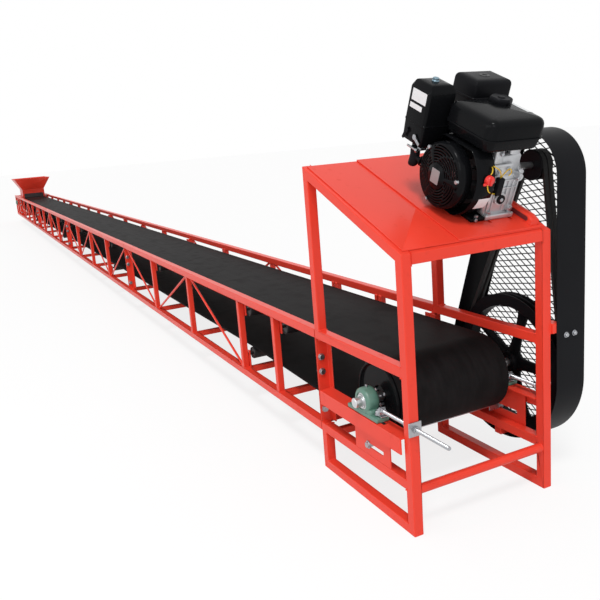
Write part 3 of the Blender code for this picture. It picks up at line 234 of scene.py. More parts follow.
def belt_finish():
    """Satin rubber with long rubbed streaks, fine grain and chalky patches."""
    finish = Finish("belt_rubber", 0.52, specular=0.03)
    base = colours().belt_rubber
    streak = finish.noise(1.0, 5.0, (2.2, 70.0, 20.0))
    across = finish.noise(1.0, 4.0, (9.0, 3.0, 3.0))
    chalk = finish.noise(14.0, 6.0).ramp(0.50, 0.78)
    worn = (streak * 0.6 + across * 0.4).ramp(0.35, 0.68)
    colour = (chalk * 0.35).over(worn.blend(tint(base, 0.72), tint(base, 1.45)), tint(base, 2.4))
    dents = finish.noise(1400.0, 2.0) * 0.5 + streak * 0.5
    return finish.link(colour, 0.48 + streak * 0.14 + chalk * 0.10, dents, 0.25, 0.0004)


def coat_finish():
    """Glossy sprayed paint: orange peel, slight cloudiness, and scuffs."""
    base = colours().powder_coat
    return layered("powder_coat", base, 0.34, (0.26, 0.10, 0.12), (3.0, 4.0), (0.88, 1.06), (420.0, 2.0),
                   (0.10, 0.0004), (38.0, 6.0, 0.62, 0.72, 0.25, tint(base, 0.72)),
                   coat=0.05, coat_roughness=0.10, specular=0.18)


def gloss_finish():
    """Moulded gloss plastic: a faint cloud in the gloss, dust and a very fine texture."""
    return layered("engine_black", colours().engine_black, 0.20, (0.17, 0.14, 0.2), (9.0, 4.0), (0.8, 1.2),
                   (700.0, 2.0), (0.05, 0.0003), (240.0, 3.0, 0.66, 0.8, 0.3, (0.018, 0.018, 0.020)),
                   coat=0.05, coat_roughness=0.06, specular=0.04)


def alloy_finish():
    """Die-cast aluminium: sand-fine casting skin with oil-darkened patches."""
    base = colours().cast_alloy
    return layered("cast_alloy", base, 0.42, (0.34, 0.12, 0.16), (900.0, 3.0), (0.85, 1.1), (900.0, 3.0),
                   (0.30, 0.0005), (22.0, 6.0, 0.42, 0.75, 0.45, tint(base, 0.5)), metallic=0.72)


def zinc_finish():
    """Bright zinc: thin drawn scratches and a slight passivated bloom."""
    return layered("zinc_plate", colours().zinc_plate, 0.28, (0.20, 0.18), (60.0, 4.0), (0.82, 1.12),
                   (1.0, 3.0, (120.0, 1600.0, 1600.0)), (0.10, 0.0003), metallic=0.95)


def casting_finish():
    """Thick green paint over a sand casting."""
    return layered("bearing_green", colours().bearing_green, 0.38, (0.30, 0.2), (50.0, 4.0), (0.7, 1.3), (260.0, 4.0),
                   (0.35, 0.0008), coat=0.2)


def grained(name, roughness, lift=1.0):
    """Satin black with a fine leathery grain."""
    return layered(name, tint(colours().guard_black, lift), roughness, (roughness - 0.08, 0.16), (6.0, 5.0),
                   (0.8, 1.35), (520.0, 3.0), (0.16, 0.0005), specular=0.06)


def iron(name, base, roughness, metallic):
    """Cast or rolled iron with a sooty, slightly pitted skin."""
    return layered(name, base, roughness, (roughness - 0.08, 0.16), (16.0, 5.0), (0.7, 1.4), (300.0, 4.0),
                   (0.22, 0.0006), metallic=metallic)


def plain(name, base, roughness, metallic=0.0, grain=400.0, strength=0.08):
    """A small moulded or printed piece: even colour with a faint cloud and grain."""
    return layered(name, base, roughness, (roughness - 0.05, 0.1), (80.0, 3.0), (0.90, 1.06), (grain, 2.0),
                   (strength, 0.0003), metallic=metallic)


# Every look: the slot of the part's record that it belongs to, and what makes it.
FINISHES = dict(
    paint=("red_paint", coat_finish),
    belt=("rubber", belt_finish),
    gloss=("black_plastic", gloss_finish),
    alloy=("alloy", alloy_finish),
    zinc=("zinc", zinc_finish),
    green=("green_casting", casting_finish),
    guard=("black_paint", lambda: grained("guard_black", 0.38)),
    soft_black=("black_plastic", lambda: grained("moulded_black", 0.5, 1.3)),
    iron=("iron", lambda: iron("black_iron", (0.018, 0.018, 0.019), 0.45, 0.35)),
    bright=("zinc", lambda: iron("turned_steel", (0.55, 0.56, 0.57), 0.30, 0.95)),
    vrubber=("rubber", lambda: plain("drive_rubber", (0.010, 0.010, 0.010), 0.62, grain=900.0, strength=0.25)),
    skirt=(None, lambda: plain("skirt_rubber", (0.055, 0.055, 0.058), 0.6, grain=300.0, strength=0.2)),
    stop_red=("red_plastic", lambda: plain("switch_red", (0.72, 0.030, 0.022), 0.42)),
    sticker=(None, lambda: plain("blank_sticker", (0.70, 0.71, 0.72), 0.45, grain=1200.0, strength=0.04)),
    plate=("zinc", lambda: plain("neutral_plate", (0.30, 0.305, 0.31), 0.35, metallic=0.4)),
    # painted shade: a flat dark red that stands in for the shadow inside the deck rail's slot
    slot_dark=("red_paint", lambda: plain("slot_dark_red", (0.13, 0.010, 0.012), 0.5)),
    yellow=(None, lambda: plain("wire_yellow", (0.80, 0.52, 0.02), 0.4)),
    knob=("zinc", lambda: plain("knob_blue_grey", (0.20, 0.30, 0.36), 0.35, metallic=0.5)),
)
LOOKS = {}


def look_of(name):
    """The finish of that name, made the first time that it is asked for."""
    if name not in LOOKS:
        LOOKS[name] = FINISHES[name][1]()
    return LOOKS[name]


# ---------------------------------------------------------------- surfaces
def put(name, parts, look, stands_for=None, rides="drive_frame", smooth=30.0):
    """A mesh object at the origin from closed parts, each (points, faces). It rides on the body of the node that it
    stands for, or else of the node named by rides."""
    points, faces, first = [], [], 0
    for part, part_faces in parts:
        points.append(np.asarray(part, float).reshape(-1, 3))
        faces += [[index + first for index in face] for face in part_faces]
        first += len(points[-1])
    mesh = bpy.data.meshes.new(name)
    mesh.from_pydata(np.concatenate(points), [], faces)
    mesh.update()
    mesh.shade_smooth()
    mesh.set_sharp_from_angle(angle=math.radians(smooth))
    mesh.materials.append(look_of(look))
    made = bpy.data.objects.new(name, mesh)
    bpy.context.scene.collection.objects.link(made)
    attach(made, NODES[stands_for or rides]["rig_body"])
    if stands_for:
        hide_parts(stands_for)
    return made


def outward(faces, points):
    """The same faces, turned round if the volume that they enclose comes out negative."""
    points = points.reshape(-1, 3)
    tri = np.array([(f[0], f[i], f[i + 1]) for f in faces for i in range(1, len(f) - 1)])
    a, b, c = points[tri[:, 0]], points[tri[:, 1]], points[tri[:, 2]]
    centre = points.mean(0)
    volume = np.einsum("ij,ij->i", a - centre, np.cross(b - centre, c - centre)).sum()
    return faces if volume > 0 else [f[::-1] for f in faces]


def quads(rows, columns, wrap_rows=False):
    """Faces of a grid of points that closes across its columns, and across its rows too if asked."""
    a, b = np.meshgrid(np.arange(rows if wrap_rows else rows - 1), np.arange(columns), indexing="ij")
    a2, b2 = (a + 1) % rows, (b + 1) % columns
    cells = np.stack([a * columns + b, a * columns + b2, a2 * columns + b2, a2 * columns + b], -1)
    return cells.reshape(-1, 4).tolist()


def skin(rings):
    """A closed part through rings of points, with a flat face on the first ring and on the last."""
    rings = np.asarray(rings)
    rows, columns = rings.shape[:2]
    ends = [list(range(columns))[::-1], list(range((rows - 1) * columns, rows * columns))]
    return rings, outward(quads(rows, columns) + ends, rings)


def hoop(rings):
    """A closed part through rings of points, the last ring joined to the first."""
    return rings, outward(quads(*rings.shape[:2], wrap_rows=True), rings)


def sweep(columns):
    """A closed hoop through outlines (x, z), each at its own distance across."""
    return hoop(np.stack([np.insert(outline, 1, y, axis=1) for outline, y in columns], 1))


def basis(axis):
    """Two unit vectors square to a unit axis."""
    side = np.cross((1.0, 0.0, 0.0) if abs(axis[2]) > 0.95 else UP, axis)
    side /= np.linalg.norm(side)
    return side, np.cross(axis, side)


def turned(profile, centre, axis, steps=None):
    """Rings of a turned shape: each profile point is (radius, distance along the axis); the point at angle t is
    centre + distance * axis + radius * (cos t * side + sin t * other side)."""
    axis = np.asarray(axis, float) / np.linalg.norm(axis)
    side, other = basis(axis)
    t = np.linspace(0, 2 * np.pi, steps or sizes().round_steps, endpoint=False)
    rim = np.cos(t)[:, None] * side + np.sin(t)[:, None] * other
    profile = np.asarray(profile, float)
    return np.asarray(centre) + profile[:, 1, None, None] * axis + profile[:, 0, None, None] * rim[None]


def solid(profile, centre, axis, steps=None):
    """A solid of revolution with a flat disc on each end."""
    return skin(turned(profile, centre, axis, steps))


def collar(profile, centre, axis, steps=None):
    """A solid of revolution whose profile is a closed loop, so that it has a hole down its middle."""
    return hoop(turned(profile, centre, axis, steps))


def mirrored(profile):
    """A profile followed by its own mirror image."""
    return profile + [(r, -d) for r, d in profile[::-1]]


def rounded_levels(low, high, levels, corner, steps):
    """Rings of rounded rectangles: at each (height, inset) the outline is drawn in by the inset, and its corners are
    quarter circles of the corner radius less the inset."""
    t = np.linspace(0, np.pi / 2, steps + 1)
    quarter = np.concatenate([t + k * np.pi / 2 for k in range(4)])
    sign_x = np.repeat([1, -1, -1, 1], steps + 1)
    sign_y = np.repeat([1, 1, -1, -1], steps + 1)
    heights, insets = np.asarray(levels, float).T[..., None]
    radius = np.maximum(corner - insets, 0.0004)
    low, high = np.asarray(low, float), np.asarray(high, float)
    half, centre = (high - low) / 2, (high + low) / 2
    x = centre[0] + sign_x * (half[0] - insets - radius) + radius * np.cos(quarter)
    y = centre[1] + sign_y * (half[1] - insets - radius) + radius * np.sin(quarter)
    return np.stack([x, y, np.broadcast_to(heights, x.shape)], -1)


def boxed(low, high, edge, steps=3):
    """A box with rounded edges: a rounded rectangle, drawn in by a quarter circle towards both ends."""
    q = np.linspace(0, np.pi / 2, steps + 1)
    inset, rise = edge * (1 - np.sin(q)), edge * (1 - np.cos(q))
    heights = np.concatenate([low[2] + rise, high[2] - rise[::-1]])
    levels = np.stack([heights, np.concatenate([inset, inset[::-1]])], -1)
    return skin(rounded_levels(low[:2], high[:2], levels, edge + 1e-5, steps))


def rod(start, end, radius, steps=16):
    """A round bar between two points."""
    along = np.subtract(end, start)
    return solid([(radius, 0.0), (radius, np.linalg.norm(along))], start, along, steps)


def hexagon(seat, axis, flats, height):
    """A hexagon head with a chamfered crown, standing on its seat."""
    radius = flats / math.sqrt(3)
    return solid([(radius, 0.0), (radius, height * 0.85), (radius * 0.86, height)], seat, axis, 6)


def washer(seat, axis, radius, thick):
    return solid([(radius, 0.0), (radius, thick * 0.7), (radius - thick * 0.4, thick)], seat, axis, 24)


def path_tube(points, radius, steps=10):
    """A round tube along a smooth path: at each point a circle square to the path's direction, kept from twisting by
    carrying the first circle's side along."""
    ahead = np.gradient(points, axis=0)
    ahead /= np.linalg.norm(ahead, axis=1)[:, None]
    side, _ = basis(ahead[0])
    sides = []
    for direction in ahead:
        side = side - direction * (side @ direction)
        side = side / np.linalg.norm(side)
        sides.append(side)
    sides = np.array(sides)
    others = np.cross(ahead, sides)
    t = np.linspace(0, 2 * np.pi, steps, endpoint=False)
    return skin(points[:, None] + radius * (np.cos(t)[None, :, None] * sides[:, None] +
                                            np.sin(t)[None, :, None] * others[:, None]))


def smooth_path(knots, count):
    """Points along a smooth curve through the knots: a Catmull-Rom curve, each stretch a cubic in its own parameter."""
    k = np.asarray(knots, float)
    k = np.concatenate([2 * k[:1] - k[1:2], k, 2 * k[-1:] - k[-2:-1]])
    u = np.linspace(0, len(knots) - 1, count)
    i = np.minimum(u.astype(int), len(knots) - 2)
    t = (u - i)[:, None]
    a, b, c, d = k[i], k[i + 1], k[i + 2], k[i + 3]
    return 0.5 * (2 * b + (c - a) * t + (2 * a - 5 * b + 4 * c - d) * t**2 + (3 * b - a - 3 * c + d) * t**3)


def engine(points):
    """Takes (down the slope, across, above the feet) to the row frame, from the crankshaft's axis."""
    origin = CRANK - sizes().crank_height * RISE
    origin = np.array([origin[0], START[1], origin[2]])
    return origin + points[..., :1] * SLOPE + points[..., 1:2] * ACROSS + points[..., 2:] * RISE


def on_engine(*parts):
    """The same parts, placed by engine(), which turns and moves them without mirroring."""
    return [(engine(points), faces) for points, faces in parts]


def round_crank(radius, turns, squash=1.0):
    """(down the slope, above the feet) of places on a circle round the crankshaft."""
    return [(radius * math.cos(t), sizes().crank_height + radius * math.sin(t) * squash) for t in turns]


def local(x, y, z):
    """A point measured from the rear of the drive frame, the middle of the belt and the floor."""
    return START + np.array([x, y, z])


def arc(centre, radius, first, last, steps):
    """Points (x, z) on a circle: centre + radius * (cos t, sin t), t in degrees."""
    t = np.radians(np.linspace(first, last, steps + 1))
    return np.stack([centre[0] + radius * np.cos(t), centre[1] + radius * np.sin(t)], -1)


def loop_round(low, low_radius, high, high_radius, low_steps, high_steps):
    """The closed outline (x, z) of a tight band round two circles: an arc on each, joined by their tangents."""
    away = np.subtract(high, low)
    lean = math.degrees(math.atan2(away[1], away[0]))
    turn = math.degrees(math.acos((low_radius - high_radius) / np.linalg.norm(away)))
    return np.concatenate([arc(high, high_radius, lean - turn, lean + turn, high_steps),
                           arc(low, low_radius, lean + turn, lean + 360 - turn, low_steps)])


def band(path_in, path_out, near, far, edge):
    """A flat band along a closed path: between an inner and an outer path, with its four edges rounded by cutting
    each corner with one short face."""
    share = edge / np.linalg.norm(path_out - path_in, axis=1)[:, None]
    a, b = path_in + (path_out - path_in) * share, path_out - (path_out - path_in) * share
    return sweep([(a, near), (b, near), (path_out, near + edge), (path_out, far - edge), (b, far), (a, far),
                  (path_in, far - edge), (path_in, near + edge)])


def bead(start, end):
    """A weld bead: a tube whose radius ripples along its length, as radius * (0.82 + 0.18 |sin|)."""
    run = np.linalg.norm(end - start)
    s = np.linspace(0, 1, max(int(run / 0.0016), 4))
    radius = sizes().weld_width * (0.82 + 0.18 * np.abs(np.sin(s * run / 0.0052 * np.pi)))
    radius[[0, -1]] *= 0.4
    return solid(np.stack([radius, s * run], -1), start, end - start, 8)


def groove_profile(radius, inner, width):
    """Closed (radius, distance) profile of a two-groove rim, with its corners cut."""
    half, depth, cut = width / 2, 0.014, 0.0012
    line = [(inner, -half + cut), (inner + cut, -half), (radius - cut, -half), (radius, -half + cut)]
    for groove in (-0.0095, 0.0095):
        line += [(radius, groove - 0.0085), (radius - depth, groove - 0.0045), (radius - depth, groove + 0.0045),
                 (radius, groove + 0.0085)]
    return line + [(radius, half - cut), (radius - cut, half), (inner + cut, half), (inner, half - cut)]


def spool(node):
    """The middle of a turned node, half its length across, and its radius."""
    low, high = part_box(node)
    return np.array((low + high) / 2), (high.y - low.y) / 2, (high.z - low.z) / 2


def dress(node, look, edge, clamp=False):
    """Gives a node of the frame its material, and rounds its edges without touching its mesh."""
    piece = NODES[node]
    for place in piece.material_slots:
        place.material = look_of(look)
    if edge:
        piece.modifiers.new("merge_edges", "WELD").merge_threshold = 1e-5
        rounding = piece.modifiers.new("round_edges", "BEVEL")
        rounding.width, rounding.segments, rounding.limit_method = edge, 2, "ANGLE"
        rounding.angle_limit = math.radians(38)
        rounding.use_clamp_overlap = clamp
        rounding.harden_normals = True


# ---------------------------------------------------------------- operators
class MakeFrame(bpy.types.Operator):
    """Dresses the welded steelwork, and adds its weld beads, joint bolts and the deck's raised rail"""
    bl_idname = "conveyor.make_frame"
    bl_label = "Steel frame"

    def execute(self, context):
        for node in NODES:
            if node.startswith(("truss_segment", "tail_frame", "drive_frame")):
                dress(node, "paint", sizes().tube_edge, clamp=node == "tail_frame")
            elif node.startswith(("bearing_rail", "scraper_plate", "deck_plate", "engine_mount_plate", "hopper")):
                dress(node, "paint", 0.0008)
        dress("hopper_skirt", "skirt", 0.0006)
        dress("scraper_bar", "zinc", 0.0005)

        bolts, washers = [], []
        ends = [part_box(f"truss_segment_{k}")[1].x for k in range(1, 5)] + [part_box("tail_frame")[1].x]
        nut_height = 0.0098
        for x, side, z, (way, height) in product(ends, (-1, 1), (0.385, 0.335, 0.205),
                                                 ((1, M12_HEAD[1]), (-1, nut_height))):
            seat = np.array([x + 0.0052 * way, START[1] + side * 0.235, z])
            bolts.append(hexagon(seat, (way, 0, 0), M12_HEAD[0], height))
            washers.append(washer(seat, (way, 0, 0), 0.0118, 0.0014))
        put("joint_bolts", bolts, "zinc", smooth=20)
        put("joint_washers", washers, "zinc")

        beads = []
        for side in (-1, 1):
            for x, base_rail in ((TUBE, ()), (FRONT_POST, (TUBE,))):
                for y, z in product((0.2202, 0.2498), RAILS + base_rail):
                    beads.append(bead(local(x, side * y, z - 0.002), local(x, side * y, z + 0.002)))
                for z in (TUBE,) + RAILS:
                    beads.append(bead(local(x, side * 0.2215, z), local(x, side * 0.2485, z)))
            for k in range(1, 16):
                if k % PANELS_IN_SEGMENT:
                    for z, way in product(RAILS[1:3], (-0.0125, 0.0125)):
                        x = way - k * PANEL
                        beads.append(bead(local(x, side * 0.224, z), local(x, side * 0.246, z)))
        put("weld_beads", beads, "paint", smooth=80)

        rear = -0.060                               # the rail's rear end, down the slope from the crankshaft
        y = np.array([0.193, 0.1955, 0.201, 0.219, 0.2245, 0.227])
        bulge = np.array([0.0006, 0.8, 1.0, 1.0, 0.8, 0.0006])
        rings = [np.stack([np.full(len(y), rear + s), y, bulge * lift], -1)
                 for s, lift in ((0.0, 0.0008), (0.005, 0.016), (0.012, 0.0220), (0.192, 0.0220), (0.208, 0.016),
                                 (0.214, 0.0008))]
        put("deck_rail", on_engine(skin(rings)), "paint", smooth=45)
        # Painted shade: a thin dark red strip on the rail's side wall stands in for the shadow inside the rail's slot.
        wall = np.array([(0.1933, 0.0045), (0.1952, 0.0165), (0.1946, 0.0166), (0.1927, 0.0046)])
        rings = [np.insert(wall.mean(0) + (wall - wall.mean(0)) * (1.0, share), 0, rear + s, axis=1)
                 for s, share in ((0.108, 0.02), (0.113, 1.0), (0.192, 1.0), (0.197, 0.02))]
        put("deck_rail_slot", on_engine(skin(rings)), "slot_dark")
        return {"FINISHED"}


class MakeBelt(bpy.types.Operator):
    """Builds the endless belt, both drums and all the rollers, round where the frame's have flats"""
    bl_idname = "conveyor.make_belt"
    bl_label = "Belt, drums and rollers"

    def execute(self, context):
        head_radius, tail_radius = BELT_HIGH.z - HEAD[2] - BELT_THICK, TAIL[0] - BELT_LOW.x - BELT_THICK
        returns = [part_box(f"return_roller_{k}") for k in range(1, 5)]
        top = np.linspace(TAIL[0], HEAD[0], 90)[1:-1]
        loops = [np.concatenate([
            arc(HEAD[[0, 2]], head_radius + extra, 90, -90, 56),
            [((low.x + high.x) / 2, high.z + 0.0003 + BELT_THICK - extra) for low, high in returns],
            arc(TAIL[[0, 2]], tail_radius + extra, 270, 90, 40),
            np.stack([top, np.full(len(top), BELT_HIGH.z - BELT_THICK + extra)], -1)]) for extra in (0.0, BELT_THICK)]
        put("belt", [band(*loops, BELT_LOW.y, BELT_HIGH.y, 0.0016)], "belt", "conveyor_belt", smooth=35)

        for node in ("head_drum", "tail_drum"):
            centre, half, radius = spool(node)
            bore = 0.0158
            profile = mirrored([(bore, -half + 0.012), (0.030, -half + 0.012), (0.034, -half + 0.005),
                                (radius - 0.014, -half + 0.005), (radius - 0.010, -half + 0.001),
                                (radius - 0.001, -half), (radius, -half + 0.001)])
            profile += [(bore, half - 0.020), (bore, -half + 0.020)]
            put(node + "_shell", [collar(profile, centre, ACROSS)], "gloss", node)
            rim = [(radius - 0.0120, -0.0060), (radius - 0.0105, 0.0010), (radius - 0.0075, 0.0032),
                   (radius - 0.0040, 0.0032), (radius - 0.0012, 0.0010), (radius - 0.0004, -0.0020)]
            put(node + "_rims", [collar(rim, centre + side * half * ACROSS, side * ACROSS) for side in (-1, 1)],
                "gloss", rides=node, smooth=60)
            screws = [hexagon(centre + (0.027 * math.cos(turn), side * (half - 0.0121), 0.027 * math.sin(turn)),
                              (0, side, 0), 0.010, 0.006)
                      for side, turn in product((-1, 1), np.arange(3) * 2 * np.pi / 3 + 0.5)]
            put(node + "_hub_screws", screws, "zinc", rides=node, smooth=20)

        for node in NODES:
            if node.startswith(("carrying_roller", "return_roller")):
                centre, reach, radius = spool(node)
                axle, half = 0.0058, 0.200
                profile = mirrored([(axle, -reach), (axle, -half + 0.004), (radius - 0.006, -half + 0.004),
                                    (radius - 0.002, -half), (radius, -half + 0.003)])
                put(node + "_tube", [solid(profile, centre, ACROSS, 40)], "iron", node)
        for node in ("head_shaft", "tail_shaft"):
            centre, half, _ = spool(node)
            profile = mirrored([(0.0132, -half), (0.0149, -half + 0.0015)])
            put(node + "_bar", [solid(profile, centre, ACROSS, 40)], "bright", node)
        return {"FINISHED"}


class MakeBearings(bpy.types.Operator):
    """Builds the head pillow blocks with their inserts, and the threaded take-up rods with their plates"""
    bl_idname = "conveyor.make_bearings"
    bl_label = "Bearings and take-up"

    def execute(self, context):
        for word, side in (("left", -1), ("right", 1)):
            node = "head_bearing_" + word
            x, y, base = HEAD[0], START[1] + side * 0.238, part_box(node)[0].z
            axis = np.array([x, y, HEAD[2]])
            ring = [(0.0262, -0.0205), (0.034, -0.0205), (0.0385, -0.017), (0.040, -0.011)]
            insert = [(0.0155, -0.0215), (0.0205, -0.0215), (0.0212, -0.019), (0.0260, -0.018)]
            parts = [boxed((x - 0.0825, y - 0.0215, base), (x + 0.0825, y + 0.0215, base + 0.0135), 0.0035),
                     boxed((x - 0.047, y - 0.019, base + 0.006), (x + 0.047, y + 0.019, base + 0.026), 0.006),
                     collar(mirrored(ring), axis, ACROSS, 48)]
            put(node + "_casting", parts, "green", node, smooth=40)
            put(node + "_insert", [collar(mirrored(insert), axis, ACROSS, 48)], "bright")
            nipple = axis + 0.0385 * UP
            parts = [rod(nipple, nipple + 0.006 * UP, 0.003, 12), washer(nipple + 0.006 * UP, UP, 0.0042, 0.003)]
            for end in (-1, 1):
                seat = np.array([x + end * 0.0605, y, base + 0.0135 + (0.0048 if end > 0 else 0)])
                parts += [washer(seat, UP, 0.0125, 0.0022), hexagon(seat, UP, 0.0185, 0.0115),
                          rod(seat, seat + 0.0165 * UP, 0.0058)]
            put(node + "_nuts", parts, "zinc", smooth=25)

            node = "takeup_rod_" + word
            start, end = x + 0.064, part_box(node)[1].x
            y, z = START[1] + side * 0.235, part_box("takeup_rod_left")[0].z + 0.020
            foot, post = base + 0.0145, START[0] + FRONT_POST
            count = int((end - start) / 0.0009)
            radius = 0.0053 + 0.0006 * (np.arange(count) % 2)
            radius[-3:] = 0.0048
            thread = solid(np.stack([radius, np.linspace(0, end - start, count)], -1), (start, y, z), (1, 0, 0), 14)
            put(node + "_thread", [thread], "zinc", node, smooth=60)
            parts = [boxed((x + 0.049, y - 0.010, foot), (x + 0.0845, y + 0.010, foot + 0.0038), 0.0010),
                     boxed((x + 0.0730, y - 0.010, foot), (x + 0.0775, y + 0.010, z + 0.011), 0.0012),
                     hexagon((x + 0.0775, y, z), (1, 0, 0), TAKEUP_FLATS, 0.0070),
                     hexagon((x + 0.0730, y, z), (-1, 0, 0), TAKEUP_FLATS, 0.0070),
                     hexagon((post - 0.0003, y, z), (-1, 0, 0), TAKEUP_FLATS, 0.0092)]
            front = post + TUBE + 0.0003
            if end > front:
                parts += [boxed((front, y - 0.020, z - 0.020), (front + 0.004, y + 0.020, z + 0.020), 0.0008),
                          hexagon((front + 0.004, y, z), (1, 0, 0), TAKEUP_FLATS, 0.0095)]
            put(node + "_fittings", parts, "zinc", smooth=25)
            dress("tail_bearing_" + word, "green", 0.0012)
        return {"FINISHED"}


class MakeDrive(bpy.types.Operator):
    """Builds the spoked pulley, the engine's pulley and shaft, and both V-belts"""
    bl_idname = "conveyor.make_drive"
    bl_label = "Pulleys and V-belts"

    def execute(self, context):
        centre, half, _ = spool("head_pulley")
        centre[[0, 2]] = HEAD[[0, 2]]
        inner = BIG_PULLEY - 0.038
        hub = [(0.0156, -0.021), (0.031, -0.021), (0.034, -0.017), (0.036, 0.0), (0.034, 0.017), (0.031, 0.021),
               (0.0156, 0.021)]
        parts = [collar(groove_profile(BIG_PULLEY, inner, 2 * half), centre, ACROSS, 96),
                 collar(hub, centre, ACROSS, 48)]
        t = np.linspace(0, 2 * np.pi, 16, endpoint=False)
        round_x, round_y = [np.sign(v) * np.abs(v) ** 0.7 for v in (np.cos(t), np.sin(t))]
        s = np.linspace(0.030, inner + 0.004, 9)
        u = (s - s[0]) / (s[-1] - s[0])
        flare = (2 * np.abs(u - 0.5)) ** 4
        wide, deep = 0.0165 + 0.010 * flare + 0.002 * (1 - u), 0.0075 + 0.004 * flare
        for turn in np.arange(5) * 2 * np.pi / 5:
            out = np.array([math.cos(turn), 0, math.sin(turn)])
            side = np.array([-math.sin(turn), 0, math.cos(turn)])
            parts.append(skin(centre + s[:, None, None] * out + (wide[:, None] * round_x)[..., None] * side
                              + (deep[:, None] * round_y)[..., None] * ACROSS))
        put("spoked_pulley", parts, "guard", "head_pulley", smooth=35)

        centre, half, _ = spool("engine_pulley")
        centre[[0, 2]] = CRANK[[0, 2]]
        put("drive_pulley", [collar(groove_profile(SMALL_PULLEY, 0.0106, 2 * half), centre, ACROSS, 64)], "guard",
            "engine_pulley", smooth=35)
        centre, half, _ = spool("crankshaft")
        profile = mirrored([(0.009, -half), (0.010, 0.001 - half)])
        put("crank_bar", [solid(profile, (CRANK[0], centre[1], CRANK[2]), ACROSS, 32)], "bright", "crankshaft")
        loops = [loop_round(HEAD[[0, 2]], BIG_PULLEY - deep, CRANK[[0, 2]], SMALL_PULLEY - deep, 72, 40)
                 for deep in BELT_DEPTHS]
        wide = [0.0079 - 0.004 / 0.014 * deep for deep in BELT_DEPTHS]
        for node in ("v_belt_inner", "v_belt_outer"):
            y = spool(node)[0][1]
            columns = [(loops[0], y - wide[0]), (loops[1], y - wide[1]), (loops[1], y + wide[1]),
                       (loops[0], y + wide[0])]
            put(node + "_loop", [sweep(columns)], "vrubber", node)
        return {"FINISHED"}


def guard_path(inset):
    upper_radius = 0.135
    upper = (START[0] + 0.395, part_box("guard_band")[1].z - upper_radius)
    return loop_round(HEAD[[0, 2]], 0.240 - inset, upper, upper_radius - inset, 80, 60)


def strands(turn, outline, y, thick=0.0012):
    """Straight strands of the mesh at even spacing, each cut off where it meets the outline: for every edge of the
    outline the strand keeps the side that lies inside it."""
    spacing, width, parallel = sizes().mesh_pitch, sizes().mesh_strand, 1e-9
    direction, normal = np.array([math.cos(turn), math.sin(turn)]), np.array([-math.sin(turn), math.cos(turn)])
    reach = outline @ normal
    offsets = np.arange(math.ceil(reach.min() / spacing), math.floor(reach.max() / spacing) + 1) * spacing
    offsets = offsets[(offsets > reach.min() + 0.004) & (offsets < reach.max() - 0.004)]
    edges = np.roll(outline, -1, axis=0) - outline
    long = np.linalg.norm(edges, axis=1) > 1e-6
    edges, corners = edges[long], outline[long]
    out = np.stack([edges[:, 1], -edges[:, 0]], -1)
    if np.einsum("ij,ij->i", corners - outline.mean(0), out).sum() < 0:
        out = -out
    starts = offsets[:, None] * normal
    rate = out @ direction
    room = np.einsum("ej,oej->oe", out, corners[None] - starts[:, None])
    with np.errstate(divide="ignore", invalid="ignore"):
        hit = room / rate
    high = np.where(rate > parallel, hit, np.inf).min(1)
    low = np.where(rate < -parallel, hit, -np.inf).max(1)
    section = np.array([(-1, 0), (1, 0), (1, 1), (-1, 1)], float)
    ends = []
    for t in (low, high):
        flat = (starts + t[:, None] * direction)[:, None] + section[None, :, :1] * normal * width / 2
        lift = np.broadcast_to(section[:, 1] * thick, flat.shape[:2])
        ends.append(np.stack([flat[..., 0], y + lift, flat[..., 1]], -1))
    return [skin(strand) for strand in np.stack(ends, 1)]


class MakeGuard(bpy.types.Operator):
    """Builds the belt guard: a sheet band round the pulleys, and expanded mesh over its outer side"""
    bl_idname = "conveyor.make_guard"
    bl_label = "Belt guard"

    def execute(self, context):
        low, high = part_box("guard_band")
        line = guard_path(0.0)
        put("guard_sheet", [band(guard_path(0.002), line, low.y, high.y, 0.0006)], "guard", "guard_band", smooth=35)
        outline, face = guard_path(0.0022), high.y - 0.0019
        parts = strands(sizes().mesh_rise, outline, face) + strands(-sizes().mesh_fall, outline, face + 0.0004)
        put("guard_expanded_mesh", parts, "guard", "guard_mesh")
        rim = band(guard_path(0.0120), guard_path(0.0021), high.y - 0.0024, high.y - 0.0002, 0.0004)
        put("guard_mesh_rim", [rim], "guard", smooth=35)
        front = line[line[:, 0] > HEAD[0] + 0.05]
        front = front[np.argsort(front[:, 1])]
        z = 0.470
        bolts = []
        for y in (0.299, 0.331):
            seat = np.array([np.interp(z, front[:, 1], front[:, 0]), START[1] + y, z])
            bolts += [washer(seat, (1, 0, 0), 0.0085, 0.0014), hexagon(seat, (1, 0, 0), 0.0115, 0.0065)]
        put("guard_bolts", bolts, "zinc", smooth=20)
        return {"FINISHED"}


